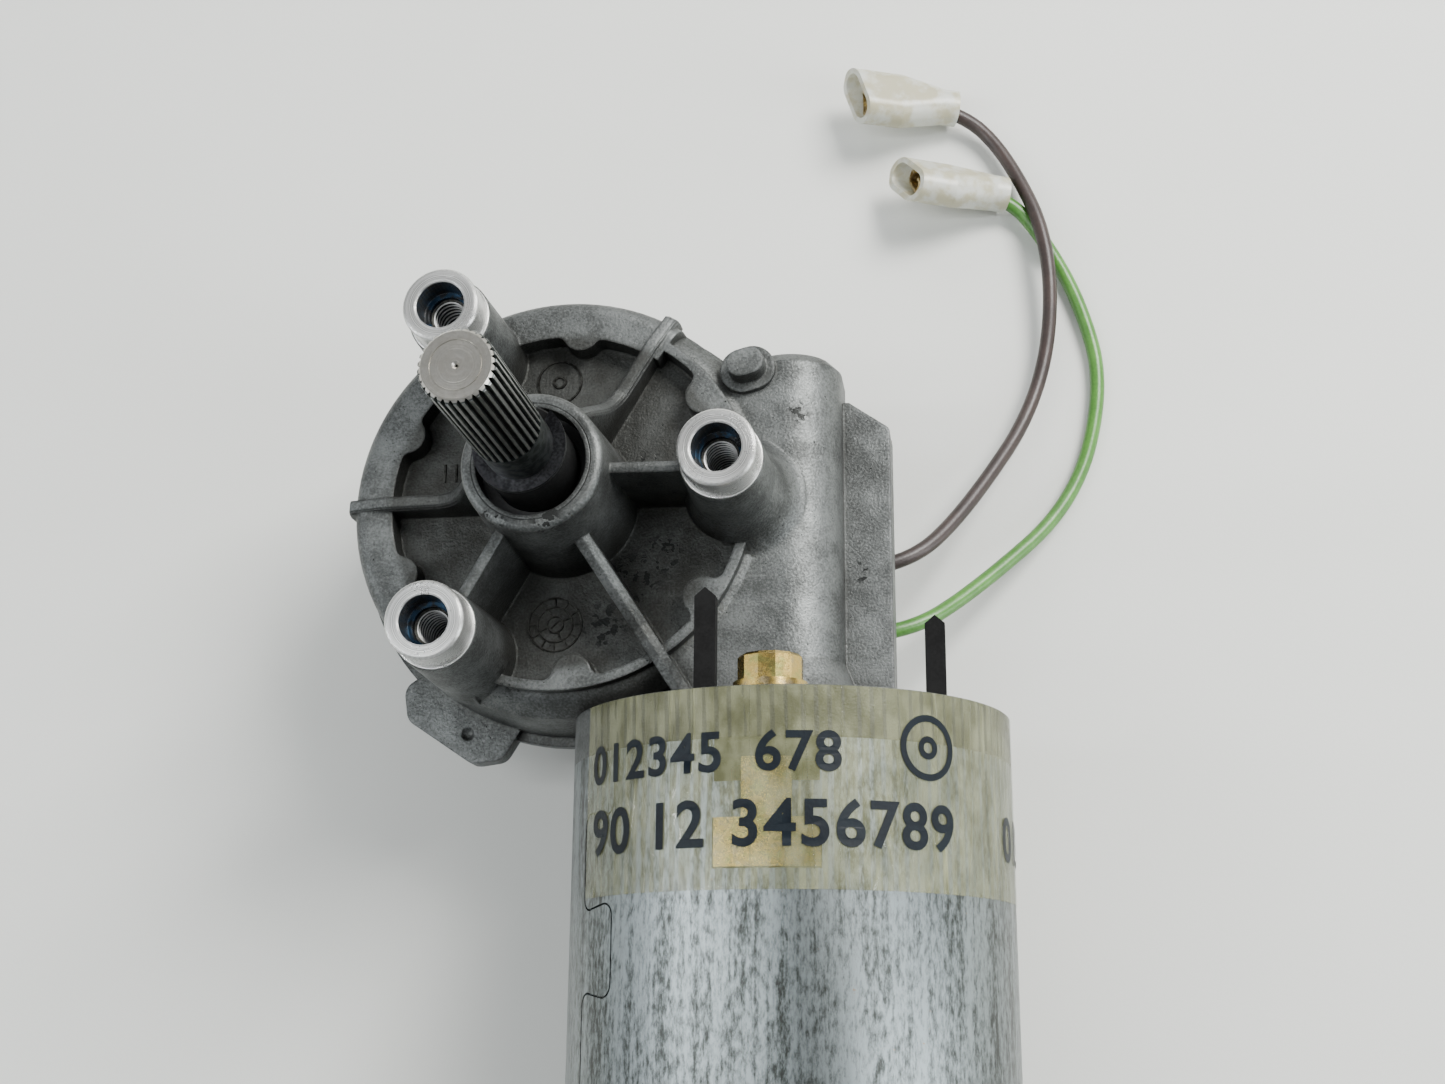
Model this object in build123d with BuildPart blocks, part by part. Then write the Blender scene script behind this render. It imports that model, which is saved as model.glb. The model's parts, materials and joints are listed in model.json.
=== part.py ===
from build123d import *
import os
from math import acos, atan, cos, degrees, hypot, pi, radians, sin, tan

os.makedirs("parts", exist_ok=True)

# Geared dc motor, millimetres.
# Origin: on the output shaft axis, in the plane of the three boss faces. +Z runs out along the shaft.
# The motor axis is parallel to Y, with the can on the -Y side.

# ---- driving dimensions -------------------------------------------------------------------------------
BOLT_CIRCLE_D = 66.0
BOSS_COUNT = 3
BOSS_FACE_D = 13.5
BOSS_COLLAR_H = 6.1
BOSS_SHOULDER_D = 14.9
BOSS_ROOT_D = 16.6
THREAD_MINOR_D = 6.8
THREAD_DEPTH = 24.0
CLEARANCE_BORE_D = 8.8
CLEARANCE_BORE_DEPTH = 5.0

HUB_TOP_Z = -3.6
RIM_Z = -25.9
FLOOR_Z = -30.6
CEILING_Z = -33.3
SPLIT_Z = -47.0

HUB_D = 25.2
HUB_RECESS_D = 19.7
HUB_RECESS_FLOOR_Z = -11.0
BUSH_D = 16.0
DRUM_RIM_R = 39.6
DRUM_ROOT_R = 41.6
DRUM_LIP_R = 43.2
WHEEL_CHAMBER_R = 36.9

MODULE = 1.25
WHEEL_TEETH = 56
WHEEL_FACE = 9.0
WORM_PITCH_R = 6.6
WORM_TURNS = 7
MESH_BACKLASH = 0.3
PRESSURE_ANGLE = 20.0

SHAFT_D = 12.0
SHAFT_TOP_Z = 41.9
SHAFT_BOTTOM_Z = -58.0
SERRATION_D = 12.3
SERRATION_END_Z = 13.5
SERRATION_COUNT = 30
SERRATION_DEPTH = 0.6

WHEEL_PITCH_R = MODULE * WHEEL_TEETH / 2
MOTOR_X = WHEEL_PITCH_R + WORM_PITCH_R
MOTOR_Z = CEILING_Z - 0.9 - WHEEL_FACE / 2
CAN_R = 39.2
CAN_WALL = 2.0
REST_Z = MOTOR_Z - CAN_R

# Stations along the motor axis, measured from the output shaft towards the can.
TUBE_END_S = -28.5
FLANGE_S = 41.0
JOINT_S = 49.5
CAN_END_S = 150.0
TAPE_END_S = 73.5

TUBE_R = 9.9
TUBE_END_SLOPE = 2.0
WORM_BORE_R = 8.4
ARMATURE_SHAFT_R = 4.0
WORM_END_R = 3.0
RUN_FIT = 0.03

LEAD_D = 3.0

MOTOR = Plane(origin=(MOTOR_X, 0, MOTOR_Z), x_dir=(1, 0, 0), z_dir=(0, -1, 0))


def station(s):
    """Plane across the motor axis at station s."""
    return MOTOR.offset(s)


def ring(plane, outer, inner, length):
    """Plain ring extruded along the normal of its plane, added to the part being built."""
    with BuildSketch(plane) as section:
        Circle(outer)
        Circle(inner, mode=Mode.SUBTRACT)
    extrude(section.sketch, amount=length)


def export(builder, label):
    builder.part.label = label
    export_step(builder.part, f"parts/{label}.step")
    print(label, "solids", len(builder.part.solids()), "volume", round(builder.part.volume, 1))


boss_ring = PolarLocations(BOLT_CIRCLE_D / 2, BOSS_COUNT)

# ---- gearbox housing ----------------------------------------------------------------------------------
PAD_R = 3.6
PAD_CIRCLE_R = 33.0
PAD_OFFSET = 35.5
PAD_BLEND = 1.8
PAD_ANGLES = [k * 120 + side * PAD_OFFSET for k in range(BOSS_COUNT) for side in (-1, 1)]
pad_centres = [(PAD_CIRCLE_R * cos(radians(a)), PAD_CIRCLE_R * sin(radians(a))) for a in PAD_ANGLES]
RIM_INNER_R = 32.0
RIDGE_INNER_R = 34.2
RIDGE_R = 36.0
RIDGE_FROM = -112
RIDGE_TO = 56
SADDLE_Z = MOTOR_Z + TUBE_R
POST_TURN = 15
LUG_TOP_Z = -43.0
PLATE_TOP_Z = -39.6
PLATE_X = 60.4
FLARE_S = 30.0
FLARE_R = 14.5
COLLAR_BORE_R = 34.0
COLLAR_WEB = 4.0
SPIGOT_L = 3.0
BEARING_R = 9.5
BEARING_W = 6.0
BOLT_R = 33.0
BOLT_ANGLES = (90, 270)
PRONG_R = 26.4
PRONG_W = 3.7
PRONG_T = 2.6
PRONG_POINT = 1.6
PRONG_ANGLES = (118, -4, 236)
PRONG_TIP_S = 20.7
SLOT_GAP = 0.3
COVER_SCREW_R = 39.3
COVER_SCREW_ANGLES = (70, 112, 154, 196, 262)
PLATE_SCREWS = [(57.0, -30.2), (56.5, 12.0)]
SPLIT_CUT_Y = -34.0
MOUTH_HALF = 8.5
MOUTH_END_S = 56.5
NECK_HALF = 4.15
NECK_END_S = 62.2
FOOT_HALF = 8.8
FOOT_END_S = 70.3

LUG_OUTLINE = [(-22, -24), (-33.4, -31.5), (-32.4, -37.8), (-19.4, -46.4), (-13.6, -45.6), (-9, -38)]
PLATE_OUTLINE = [(MOTOR_X, -FLANGE_S), (PLATE_X, -FLANGE_S), (PLATE_X, 16), (52.7, 21.4), (MOTOR_X, 21.4)]
CAST_RIB_LAYERS = [(0, 1.7), (0.3, 2.3), (1.0, 2.8)]
THIN_RIB_W = 1.9
RIB_DRAFT = 15

with BuildPart() as gearbox_housing:
    with BuildSketch(Plane.XY.offset(SPLIT_Z)):
        Circle(DRUM_ROOT_R)
    extrude(amount=RIM_Z - SPLIT_Z, taper=degrees(atan((DRUM_ROOT_R - DRUM_RIM_R) / (RIM_Z - SPLIT_Z))))
    rim_edge = gearbox_housing.faces().sort_by(Axis.Z)[-1].edges()
    fillet(rim_edge, 3.2)
    # lip along the split line, and the lug
    with BuildSketch(Plane.XY.offset(SPLIT_Z)):
        Circle(DRUM_LIP_R)
    extrude(amount=2.4)
    with BuildSketch(Plane.XY.offset(SPLIT_Z)) as lug_sketch:
        with BuildLine():
            Polyline(*LUG_OUTLINE, close=True)
        make_face()
        fillet(lug_sketch.vertices().filter_by(lambda v: hypot(v.X, v.Y) > DRUM_LIP_R), 3.0)
    extrude(amount=LUG_TOP_Z - SPLIT_Z)
    # on the motor side the rim is a thin ridge, and the casting rolls off outside it
    with BuildSketch(Plane.XZ.rotated((0, 0, RIDGE_FROM))):
        with BuildLine():
            Polyline((50, -36), (50, RIM_Z + 2), (RIDGE_R, RIM_Z + 2), (RIDGE_R, SADDLE_Z + 0.6))
            Spline((RIDGE_R, SADDLE_Z + 0.6), (39.2, -30.6), (42.5, -36), tangents=[(1, -0.2), (0.1, -1)])
            Line((42.5, -36), (50, -36))
        make_face()
    revolve(axis=Axis.Z, revolution_arc=RIDGE_TO - RIDGE_FROM, mode=Mode.SUBTRACT)
    # worm tube with its block, end and flare
    with BuildSketch(station(TUBE_END_S)):
        Circle(TUBE_R - TUBE_END_SLOPE)
    with BuildSketch(station(TUBE_END_S + TUBE_END_SLOPE)):
        Circle(TUBE_R)
    loft()
    with BuildSketch(station(TUBE_END_S + TUBE_END_SLOPE)):
        Circle(TUBE_R)
    extrude(amount=FLANGE_S - TUBE_END_S - TUBE_END_SLOPE)
    with BuildSketch(Plane.XY.offset(SPLIT_Z)):
        with Locations((MOTOR_X, -(FLANGE_S + TUBE_END_S + 2) / 2)):
            Rectangle(2 * TUBE_R, FLANGE_S - TUBE_END_S - 2)
    extrude(amount=MOTOR_Z - SPLIT_Z)
    with BuildSketch(station(FLARE_S)):
        Circle(TUBE_R)
    with BuildSketch(station(FLANGE_S)):
        Circle(FLARE_R)
    loft()
    # side plate over the lead compartment
    with BuildSketch(Plane.XY.offset(SPLIT_Z)) as plate_sketch:
        with BuildLine():
            Polyline(*PLATE_OUTLINE, close=True)
        make_face()
        fillet(plate_sketch.vertices().sort_by(Axis.X)[-1:], 1.5)
    extrude(amount=PLATE_TOP_Z - SPLIT_Z)
    # motor flange and spigot
    with BuildSketch(station(FLANGE_S)):
        Circle(CAN_R)
    extrude(amount=JOINT_S - FLANGE_S)
    with BuildSketch(station(JOINT_S)):
        Circle(CAN_R - CAN_WALL - 0.05)
    extrude(amount=SPIGOT_L)
    # saddle between the ridge and the worm tube, with a skirt where the boss meets it
    with BuildSketch(Plane.XY.offset(SPLIT_Z)):
        Polygon((24, -FLANGE_S), (MOTOR_X, -FLANGE_S), (MOTOR_X, 24.5), (36.5, 24.5), (28, 21), (28, -21), (19, -29),
                align=None)
    extrude(amount=SADDLE_Z - SPLIT_Z)
    with BuildSketch(Plane.XZ.shift_origin((BOLT_CIRCLE_D / 2, 0, 0))):
        with BuildLine():
            Polyline((0, -38), (0, -15.5), (7.4, -15.5))
            Spline((7.4, -15.5), (8.7, -23.0), (12.4, SADDLE_Z - 0.3), tangents=[(0.05, -1), (1, -0.5)])
            Polyline((12.4, SADDLE_Z - 0.3), (12.4, -38), (0, -38))
        make_face()
    revolve(axis=Axis((BOLT_CIRCLE_D / 2, 0, 0), (0, 0, 1)))
    # floor pocket, leaving the rim and the round pads, which run into it
    for pocket_r, start, end in ((RIM_INNER_R, RIDGE_TO, RIDGE_FROM + 360), (RIDGE_INNER_R, RIDGE_FROM, RIDGE_TO)):
        with BuildSketch(Plane.XY.offset(RIM_Z)) as pocket_sketch:
            Circle(pocket_r)
            Polygon((0, 0), *[(80 * cos(radians(start + (end - start) * k / 4)),
                               80 * sin(radians(start + (end - start) * k / 4))) for k in range(5)],
                    align=None, mode=Mode.INTERSECT)
            for x, y in pad_centres:
                with Locations((x, y)):
                    Circle(PAD_R, mode=Mode.SUBTRACT)
            corners = [v for v in pocket_sketch.vertices()
                       if any(abs(hypot(v.X - x, v.Y - y) - PAD_R) < 0.01 for x, y in pad_centres)
                       and abs(hypot(v.X, v.Y) - pocket_r) < 0.01]
            fillet(corners, PAD_BLEND)
        extrude(amount=FLOOR_Z - RIM_Z, mode=Mode.SUBTRACT)
    # hub
    with BuildSketch(Plane.XY.offset(FLOOR_Z)):
        Circle(HUB_D / 2 + 1.4)
    extrude(amount=HUB_TOP_Z - FLOOR_Z, taper=degrees(atan(1.4 / (HUB_TOP_Z - FLOOR_Z))))
    fillet(gearbox_housing.faces().sort_by(Axis.Z)[-1].edges(), 1.2)
    # bosses: drafted post, shoulder and machined collar
    with BuildSketch(Plane.XY.offset(CEILING_Z)):
        with boss_ring:
            Circle(BOSS_ROOT_D / 2)
    extrude(amount=-BOSS_COLLAR_H - 0.8 - CEILING_Z,
            taper=degrees(atan((BOSS_ROOT_D - BOSS_SHOULDER_D) / 2 / (-BOSS_COLLAR_H - CEILING_Z))))
    with BuildSketch(Plane.XY.offset(-BOSS_COLLAR_H - 0.8)):
        with boss_ring:
            Circle(BOSS_SHOULDER_D / 2)
    extrude(amount=0.8)
    with BuildSketch(Plane.XY.offset(-BOSS_COLLAR_H)):
        with boss_ring:
            Circle(BOSS_FACE_D / 2 + 0.15)
    extrude(amount=BOSS_COLLAR_H)
    collar_edges = gearbox_housing.faces().filter_by(Axis.Z).sort_by(Axis.Z)[-BOSS_COUNT:].edges()
    chamfer(collar_edges, 0.35)
    # thin ribs to the bosses
    for angle in (0, 120, 240):
        with BuildSketch(Plane.XZ.rotated((0, 0, angle))):
            with BuildLine():
                Polyline((8, FLOOR_Z - 1), (8, -8.6), (28, -9.4), (28, FLOOR_Z - 1), close=True)
            make_face()
        extrude(amount=THIN_RIB_W / 2, both=True, taper=RIB_DRAFT)
    # drafted ribs that sweep down from the hub and run over the rim
    for angle in (60, 180):
        out = (cos(radians(angle)), sin(radians(angle)), 0)
        for drop, width in CAST_RIB_LAYERS:
            with BuildSketch(Plane(origin=(0, 0, -drop), x_dir=out, z_dir=(out[1], -out[0], 0))):
                with BuildLine():
                    Polyline((8, FLOOR_Z), (8, -9.5), (12.6, -10.6))
                    Spline((12.6, -10.6), (16.5, -17.5), (23, -24.2), tangents=[(0.8, -1), (1, -0.25)])
                    Polyline((23, -24.2), (34, -24.6), (40.4, -26.2), (41, -27.6), (41, FLOOR_Z), (8, FLOOR_Z))
                make_face()
            extrude(amount=width / 2, both=True)
    with BuildSketch(Plane.XZ.rotated((0, 0, -57.5))):
        with BuildLine():
            Polyline((8, FLOOR_Z - 1), (8, -11), (15, -15), (30, -23.5), (47, -26.5), (47, FLOOR_Z - 8),
                     (38, FLOOR_Z - 1), close=True)
        make_face()
    extrude(amount=1.5, both=True, taper=RIB_DRAFT)
    # post beside the worm tube
    for base_z, top_z, size in ((-40, -27.6, (10.4, 8.6)), (-28, -23.6, (7.0, 5.2))):
        with BuildSketch(Plane.XY.offset(base_z)):
            with Locations(Location((34.7, 24.6), POST_TURN)):
                SlotOverall(*size)
        extrude(amount=top_z - base_z)
    # dimple on the lug
    with Locations((-20.4, -40.6, LUG_TOP_Z + 0.9)):
        Sphere(1.6, mode=Mode.SUBTRACT)

    # flat underside for the cover, up to the bearing seat
    with BuildSketch(Plane.XY.offset(SPLIT_Z)):
        Polygon((15, SPLIT_CUT_Y), (70, SPLIT_CUT_Y), (70, 35), (15, 35), align=None)
    extrude(amount=-10, mode=Mode.SUBTRACT)

    # ---- inside
    with BuildSketch(Plane.XY.offset(SPLIT_Z)):
        Circle(WHEEL_CHAMBER_R)
    extrude(amount=CEILING_Z - SPLIT_Z, mode=Mode.SUBTRACT)
    with BuildSketch(station(-15)):
        Circle(WORM_BORE_R)
    extrude(amount=FLANGE_S + 5 + 15, mode=Mode.SUBTRACT)
    with BuildSketch(station(FLANGE_S - BEARING_W + 0.2)):
        Circle(BEARING_R)
    extrude(amount=20, mode=Mode.SUBTRACT)
    with BuildSketch(station(TUBE_END_S + 4)):
        Circle(6.0)
    extrude(amount=-15 - TUBE_END_S - 3, mode=Mode.SUBTRACT)
    with BuildSketch(station(TUBE_END_S - 5)):
        Circle(5.0)
    extrude(amount=11, mode=Mode.SUBTRACT)
    with BuildSketch(station(FLANGE_S + COLLAR_WEB)):
        Circle(COLLAR_BORE_R)
    extrude(amount=20, mode=Mode.SUBTRACT)
    with BuildSketch(Plane.XY.offset(HUB_TOP_Z)):
        Circle(HUB_RECESS_D / 2)
    extrude(amount=HUB_RECESS_FLOOR_Z - HUB_TOP_Z, mode=Mode.SUBTRACT)
    with BuildSketch(Plane.XY.offset(HUB_RECESS_FLOOR_Z)):
        Circle(BUSH_D / 2)
    extrude(amount=-30, mode=Mode.SUBTRACT)
    # threaded holes with their clearance bores
    with BuildSketch(Plane.XY):
        with boss_ring:
            Circle(CLEARANCE_BORE_D / 2)
    extrude(amount=-CLEARANCE_BORE_DEPTH, mode=Mode.SUBTRACT)
    with BuildSketch(Plane.XY):
        with boss_ring:
            Circle(THREAD_MINOR_D / 2)
    extrude(amount=-THREAD_DEPTH, mode=Mode.SUBTRACT)
    # through holes in the flange for the bolts, slots for the prongs
    for angle in BOLT_ANGLES:
        with BuildSketch(station(FLANGE_S)):
            with Locations((BOLT_R * cos(radians(angle)), BOLT_R * sin(radians(angle)))):
                Circle(3.2)
        extrude(amount=20, mode=Mode.SUBTRACT)
    with BuildSketch(station(FLANGE_S - 1)):
        for angle in PRONG_ANGLES:
            with Locations((PRONG_R * cos(radians(angle)), PRONG_R * sin(radians(angle)))):
                Rectangle(PRONG_W + 2 * SLOT_GAP, PRONG_T + 2 * SLOT_GAP)
    extrude(amount=20, mode=Mode.SUBTRACT)
    # screw holes for the cover
    with BuildSketch(Plane.XY.offset(SPLIT_Z)):
        for angle in COVER_SCREW_ANGLES:
            with Locations((COVER_SCREW_R * cos(radians(angle)), COVER_SCREW_R * sin(radians(angle)))):
                Circle(1.6)
        with Locations(*PLATE_SCREWS):
            Circle(1.6)
    extrude(amount=6, mode=Mode.SUBTRACT)

# ---- rear cover, gasket and screws --------------------------------------------------------------------
GASKET_T = 0.5
COVER_FLANGE_T = 3.0
COVER_WALL = 2.5
POT_R = 30.0
COMPARTMENT_X = 51.0
COMPARTMENT = [(31, -26.6), (COMPARTMENT_X, -26.6), (COMPARTMENT_X, -1), (22, -1), (22, -17), (31, -17)]
NOTCH_Y = -33.6
COMPARTMENT_Z = -63.0
COVER_TOP_Z = SPLIT_Z - GASKET_T
COVER_UNDER_Z = COVER_TOP_Z - COVER_FLANGE_T
EXIT_Z = -57.6
EXIT_YS = (-6.6, -20.0)


def split_outline():
    """Outline shared by the cover flange and its gasket."""
    Circle(DRUM_LIP_R)
    Polygon(*LUG_OUTLINE, align=None)
    Polygon((20, -FLANGE_S), (PLATE_X, -FLANGE_S), (PLATE_X, 16), (52.7, 21.4), (20, 26), align=None)
    with Locations((0, -FLANGE_S - 10 + 0.1)):
        Rectangle(200, 20, mode=Mode.SUBTRACT)
    Polygon((MOTOR_X - 16, -60), (MOTOR_X + 40, -60), (MOTOR_X + 40, NOTCH_Y), (MOTOR_X - 16, NOTCH_Y), align=None,
            mode=Mode.SUBTRACT)
    for angle in COVER_SCREW_ANGLES:
        with Locations((COVER_SCREW_R * cos(radians(angle)), COVER_SCREW_R * sin(radians(angle)))):
            Circle(2.2, mode=Mode.SUBTRACT)
    with Locations(*PLATE_SCREWS):
        Circle(2.2, mode=Mode.SUBTRACT)


with BuildPart() as cover_gasket:
    with BuildSketch(Plane.XY.offset(COVER_TOP_Z)):
        split_outline()
        Circle(WHEEL_CHAMBER_R, mode=Mode.SUBTRACT)
    extrude(amount=GASKET_T)

with BuildPart() as gear_cover:
    with BuildSketch(Plane.XY.offset(COVER_UNDER_Z)):
        split_outline()
    extrude(amount=COVER_FLANGE_T)
    with BuildSketch(Plane.XY.offset(COVER_UNDER_Z)):
        Circle(POT_R)
    extrude(amount=REST_Z - COVER_UNDER_Z, taper=1.5)
    fillet(gear_cover.faces().sort_by(Axis.Z)[0].edges(), 2.0)
    with BuildSketch(Plane.XY.offset(COVER_UNDER_Z)) as compartment_sketch:
        with BuildLine():
            Polyline(*COMPARTMENT, close=True)
        make_face()
        fillet(compartment_sketch.vertices().sort_by(Axis.X)[-2:], 2.0)
    extrude(amount=COMPARTMENT_Z - COVER_UNDER_Z)
    for angle in range(0, 360, 45):
        with BuildSketch(Plane.XZ.rotated((0, 0, angle + 22.5))):
            with BuildLine():
                Polyline((POT_R - 4, COVER_UNDER_Z + 1), (POT_R + 3.5, COVER_UNDER_Z + 1), (POT_R - 2, REST_Z + 6),
                         (POT_R - 4, REST_Z + 6), close=True)
            make_face()
        extrude(amount=1.0, both=True)
    # hollow, with a boss for the rear bush
    with BuildSketch(Plane.XY.offset(COVER_TOP_Z)):
        Circle(POT_R - COVER_WALL - 0.8)
    extrude(amount=REST_Z + COVER_WALL - COVER_TOP_Z, mode=Mode.SUBTRACT)
    with BuildSketch(Plane.XY.offset(COVER_UNDER_Z - 0.5)):
        with Locations((COMPARTMENT_X - 12.5, sum(EXIT_YS) / 2)):
            Rectangle(20, 20.6)
    extrude(amount=COMPARTMENT_Z + COVER_WALL - COVER_UNDER_Z + 0.5, mode=Mode.SUBTRACT)
    with BuildSketch(Plane.XY.offset(COVER_TOP_Z - 1.0)):
        Circle(11)
    extrude(amount=REST_Z + 1 - COVER_TOP_Z)
    with BuildSketch(Plane.XY.offset(COVER_TOP_Z)):
        Circle(BUSH_D / 2)
    extrude(amount=-11.5, mode=Mode.SUBTRACT)
    # opening for the grommet
    with BuildSketch(Plane.YZ.offset(COMPARTMENT_X - 6)):
        with Locations((sum(EXIT_YS) / 2, EXIT_Z)):
            SlotOverall(20.4, 7.0)
    extrude(amount=10, mode=Mode.SUBTRACT)

with BuildPart() as cover_screws:
    screw_points = [(COVER_SCREW_R * cos(radians(a)), COVER_SCREW_R * sin(radians(a))) for a in COVER_SCREW_ANGLES]
    screw_points += PLATE_SCREWS
    with BuildSketch(Plane.XY.offset(COVER_UNDER_Z)):
        with Locations(*screw_points):
            Circle(3.3)
    extrude(amount=-2.4)
    chamfer(cover_screws.faces().sort_by(Axis.Z)[:len(screw_points)].edges(), 0.6)
    with BuildSketch(Plane.XY.offset(COVER_UNDER_Z - 2.4)):
        with Locations(*screw_points):
            RegularPolygon(1.6, 6)
    extrude(amount=1.3, mode=Mode.SUBTRACT)
    with BuildSketch(Plane.XY.offset(COVER_UNDER_Z)):
        with Locations(*screw_points):
            Circle(1.6)
    extrude(amount=COVER_FLANGE_T + GASKET_T + 5.5)

# ---- output shaft and wheel ---------------------------------------------------------------------------
RING_GROOVE_Z = 3.4
RING_T = 1.0
RING_GROOVE_R = 5.5
RING_R = 8.1
SPACER_R = 7.8

with BuildPart() as output_shaft:
    with BuildSketch(Plane.XY.offset(SHAFT_BOTTOM_Z)):
        Circle(SHAFT_D / 2)
    extrude(amount=SERRATION_END_Z - SHAFT_BOTTOM_Z)
    with BuildSketch(Plane.XY.offset(SERRATION_END_Z)):
        Circle(SERRATION_D / 2)
    extrude(amount=SHAFT_TOP_Z - SERRATION_END_Z)
    chamfer(output_shaft.faces().sort_by(Axis.Z)[-1].edges(), 0.65)
    with BuildSketch(Plane.XY.offset(SERRATION_END_Z + 0.5)):
        with PolarLocations(SERRATION_D / 2 - SERRATION_DEPTH, SERRATION_COUNT):
            Polygon((0, -0.08), (SERRATION_DEPTH + 0.3, -0.62), (SERRATION_DEPTH + 0.3, 0.62), (0, 0.08), align=None)
    extrude(amount=SHAFT_TOP_Z - SERRATION_END_Z, mode=Mode.SUBTRACT)
    with BuildSketch(Plane.XY.offset(RING_GROOVE_Z - 0.05)):
        Circle(SHAFT_D / 2 + 1)
        Circle(RING_GROOVE_R, mode=Mode.SUBTRACT)
    extrude(amount=RING_T + 0.1, mode=Mode.SUBTRACT)
    # shallow turned ring and centre mark on the end face
    with BuildSketch(Plane.XY.offset(SHAFT_TOP_Z)):
        Circle(4.15)
        Circle(3.95, mode=Mode.SUBTRACT)
    extrude(amount=-0.15, mode=Mode.SUBTRACT)
    with Locations((0, 0, SHAFT_TOP_Z)):
        Cone(0.1, 0.6, 0.5, align=(Align.CENTER, Align.CENTER, Align.MAX), mode=Mode.SUBTRACT)

with BuildPart() as retaining_ring:
    with BuildSketch(Plane.XY.offset(RING_GROOVE_Z)):
        Circle(RING_R)
        Circle(RING_GROOVE_R + 0.1, mode=Mode.SUBTRACT)
        with PolarLocations(RING_R, 1, start_angle=62):
            Rectangle(8, 3.4, mode=Mode.SUBTRACT)
    extrude(amount=RING_T)

with BuildPart() as shaft_spacer:
    ring(Plane.XY.offset(HUB_RECESS_FLOOR_Z + 0.1), SPACER_R, SHAFT_D / 2 + 0.05,
         RING_GROOVE_Z - 0.1 - HUB_RECESS_FLOOR_Z - 0.1)
    chamfer(shaft_spacer.faces().sort_by(Axis.Z)[-1].edges(), 0.3)

with BuildPart() as shaft_seal:
    ring(Plane.XY.offset(HUB_RECESS_FLOOR_Z), HUB_RECESS_D / 2, SPACER_R + 0.08, 2.6)

BUSH_TOP_LENGTH = HUB_RECESS_FLOOR_Z - CEILING_Z
WHEEL_TOP_Z = MOTOR_Z + WHEEL_FACE / 2
WHEEL_UNDER_Z = MOTOR_Z - WHEEL_FACE / 2

with BuildPart() as shaft_bushes:
    ring(Plane.XY.offset(CEILING_Z), BUSH_D / 2, SHAFT_D / 2 + RUN_FIT, BUSH_TOP_LENGTH)
    ring(Plane.XY.offset(COVER_TOP_Z - 11.4), BUSH_D / 2, SHAFT_D / 2 + RUN_FIT, 11.4)

with BuildPart() as thrust_washers:
    ring(Plane.XY.offset(WHEEL_TOP_Z + 0.05), 11, SHAFT_D / 2 + 0.1, 0.8)
    ring(Plane.XY.offset(COVER_TOP_Z + 0.05), 11, SHAFT_D / 2 + 0.1, WHEEL_UNDER_Z - COVER_TOP_Z - 0.1)

HUB_STEEL_R = 14.0

with BuildPart() as wheel_hub:
    ring(Plane.XY.offset(WHEEL_UNDER_Z), HUB_STEEL_R, SHAFT_D / 2, WHEEL_FACE)
    with BuildSketch(Plane.XY.offset(WHEEL_UNDER_Z)):
        with PolarLocations(HUB_STEEL_R, 24):
            Circle(0.7)
    extrude(amount=WHEEL_FACE, mode=Mode.SUBTRACT)

# ---- worm wheel: involute in its mid plane, conjugate to the worm's straight flanks ------------------
ROOT_R = WHEEL_PITCH_R - 1.25 * MODULE
TIP_R = WHEEL_PITCH_R + MODULE
BASE_R = WHEEL_PITCH_R * cos(radians(PRESSURE_ANGLE))
AXIAL_PITCH = pi * MODULE
LEAD_TAN = MODULE / (2 * WORM_PITCH_R)
TOOTH_HALF_ANGLE = (AXIAL_PITCH / 2 - MESH_BACKLASH / 2) / 2 / WHEEL_PITCH_R


def involute(angle):
    return tan(angle) - angle


def flank_angle(r):
    """Half angle of a wheel tooth at radius r."""
    at_pitch = involute(radians(PRESSURE_ANGLE))
    return TOOTH_HALF_ANGLE + at_pitch - involute(acos(min(1.0, BASE_R / r)))


def wheel_outline(turn):
    """Closed outline of the toothed wheel turned by an angle in radians, with a space on +X."""
    flank_radii = [ROOT_R + (TIP_R - ROOT_R) * k / 3 for k in range(4)]
    points = []
    for tooth in range(WHEEL_TEETH):
        middle = turn + (tooth + 0.5) * 2 * pi / WHEEL_TEETH
        rising = [(r, middle - flank_angle(r)) for r in flank_radii]
        falling = [(r, middle + flank_angle(r)) for r in reversed(flank_radii)]
        points += [(r * cos(a), r * sin(a)) for r, a in rising + falling]
    return points


twist = WHEEL_FACE / 2 * LEAD_TAN / WHEEL_PITCH_R
with BuildPart() as worm_wheel:
    for z, turn in ((WHEEL_UNDER_Z, -twist), (WHEEL_TOP_Z, twist)):
        with BuildSketch(Plane.XY.offset(z)):
            with BuildLine():
                Polyline(*wheel_outline(turn), close=True)
            make_face()
    loft(ruled=True)
    with BuildSketch(Plane.XY.offset(WHEEL_UNDER_Z)):
        Circle(HUB_STEEL_R)
    extrude(amount=WHEEL_FACE, mode=Mode.SUBTRACT)
    for z, depth in ((WHEEL_UNDER_Z, 2.5), (WHEEL_TOP_Z, -2.5)):
        with BuildSketch(Plane.XY.offset(z)):
            Circle(30.5)
            Circle(17.5, mode=Mode.SUBTRACT)
            with PolarLocations(24, 8):
                Rectangle(14, 2.2, mode=Mode.SUBTRACT)
        extrude(amount=depth, mode=Mode.SUBTRACT)
    with BuildSketch(Plane.XY.offset(WHEEL_UNDER_Z)):
        with PolarLocations(HUB_STEEL_R, 24):
            Circle(0.7)
    extrude(amount=WHEEL_FACE)

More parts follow.
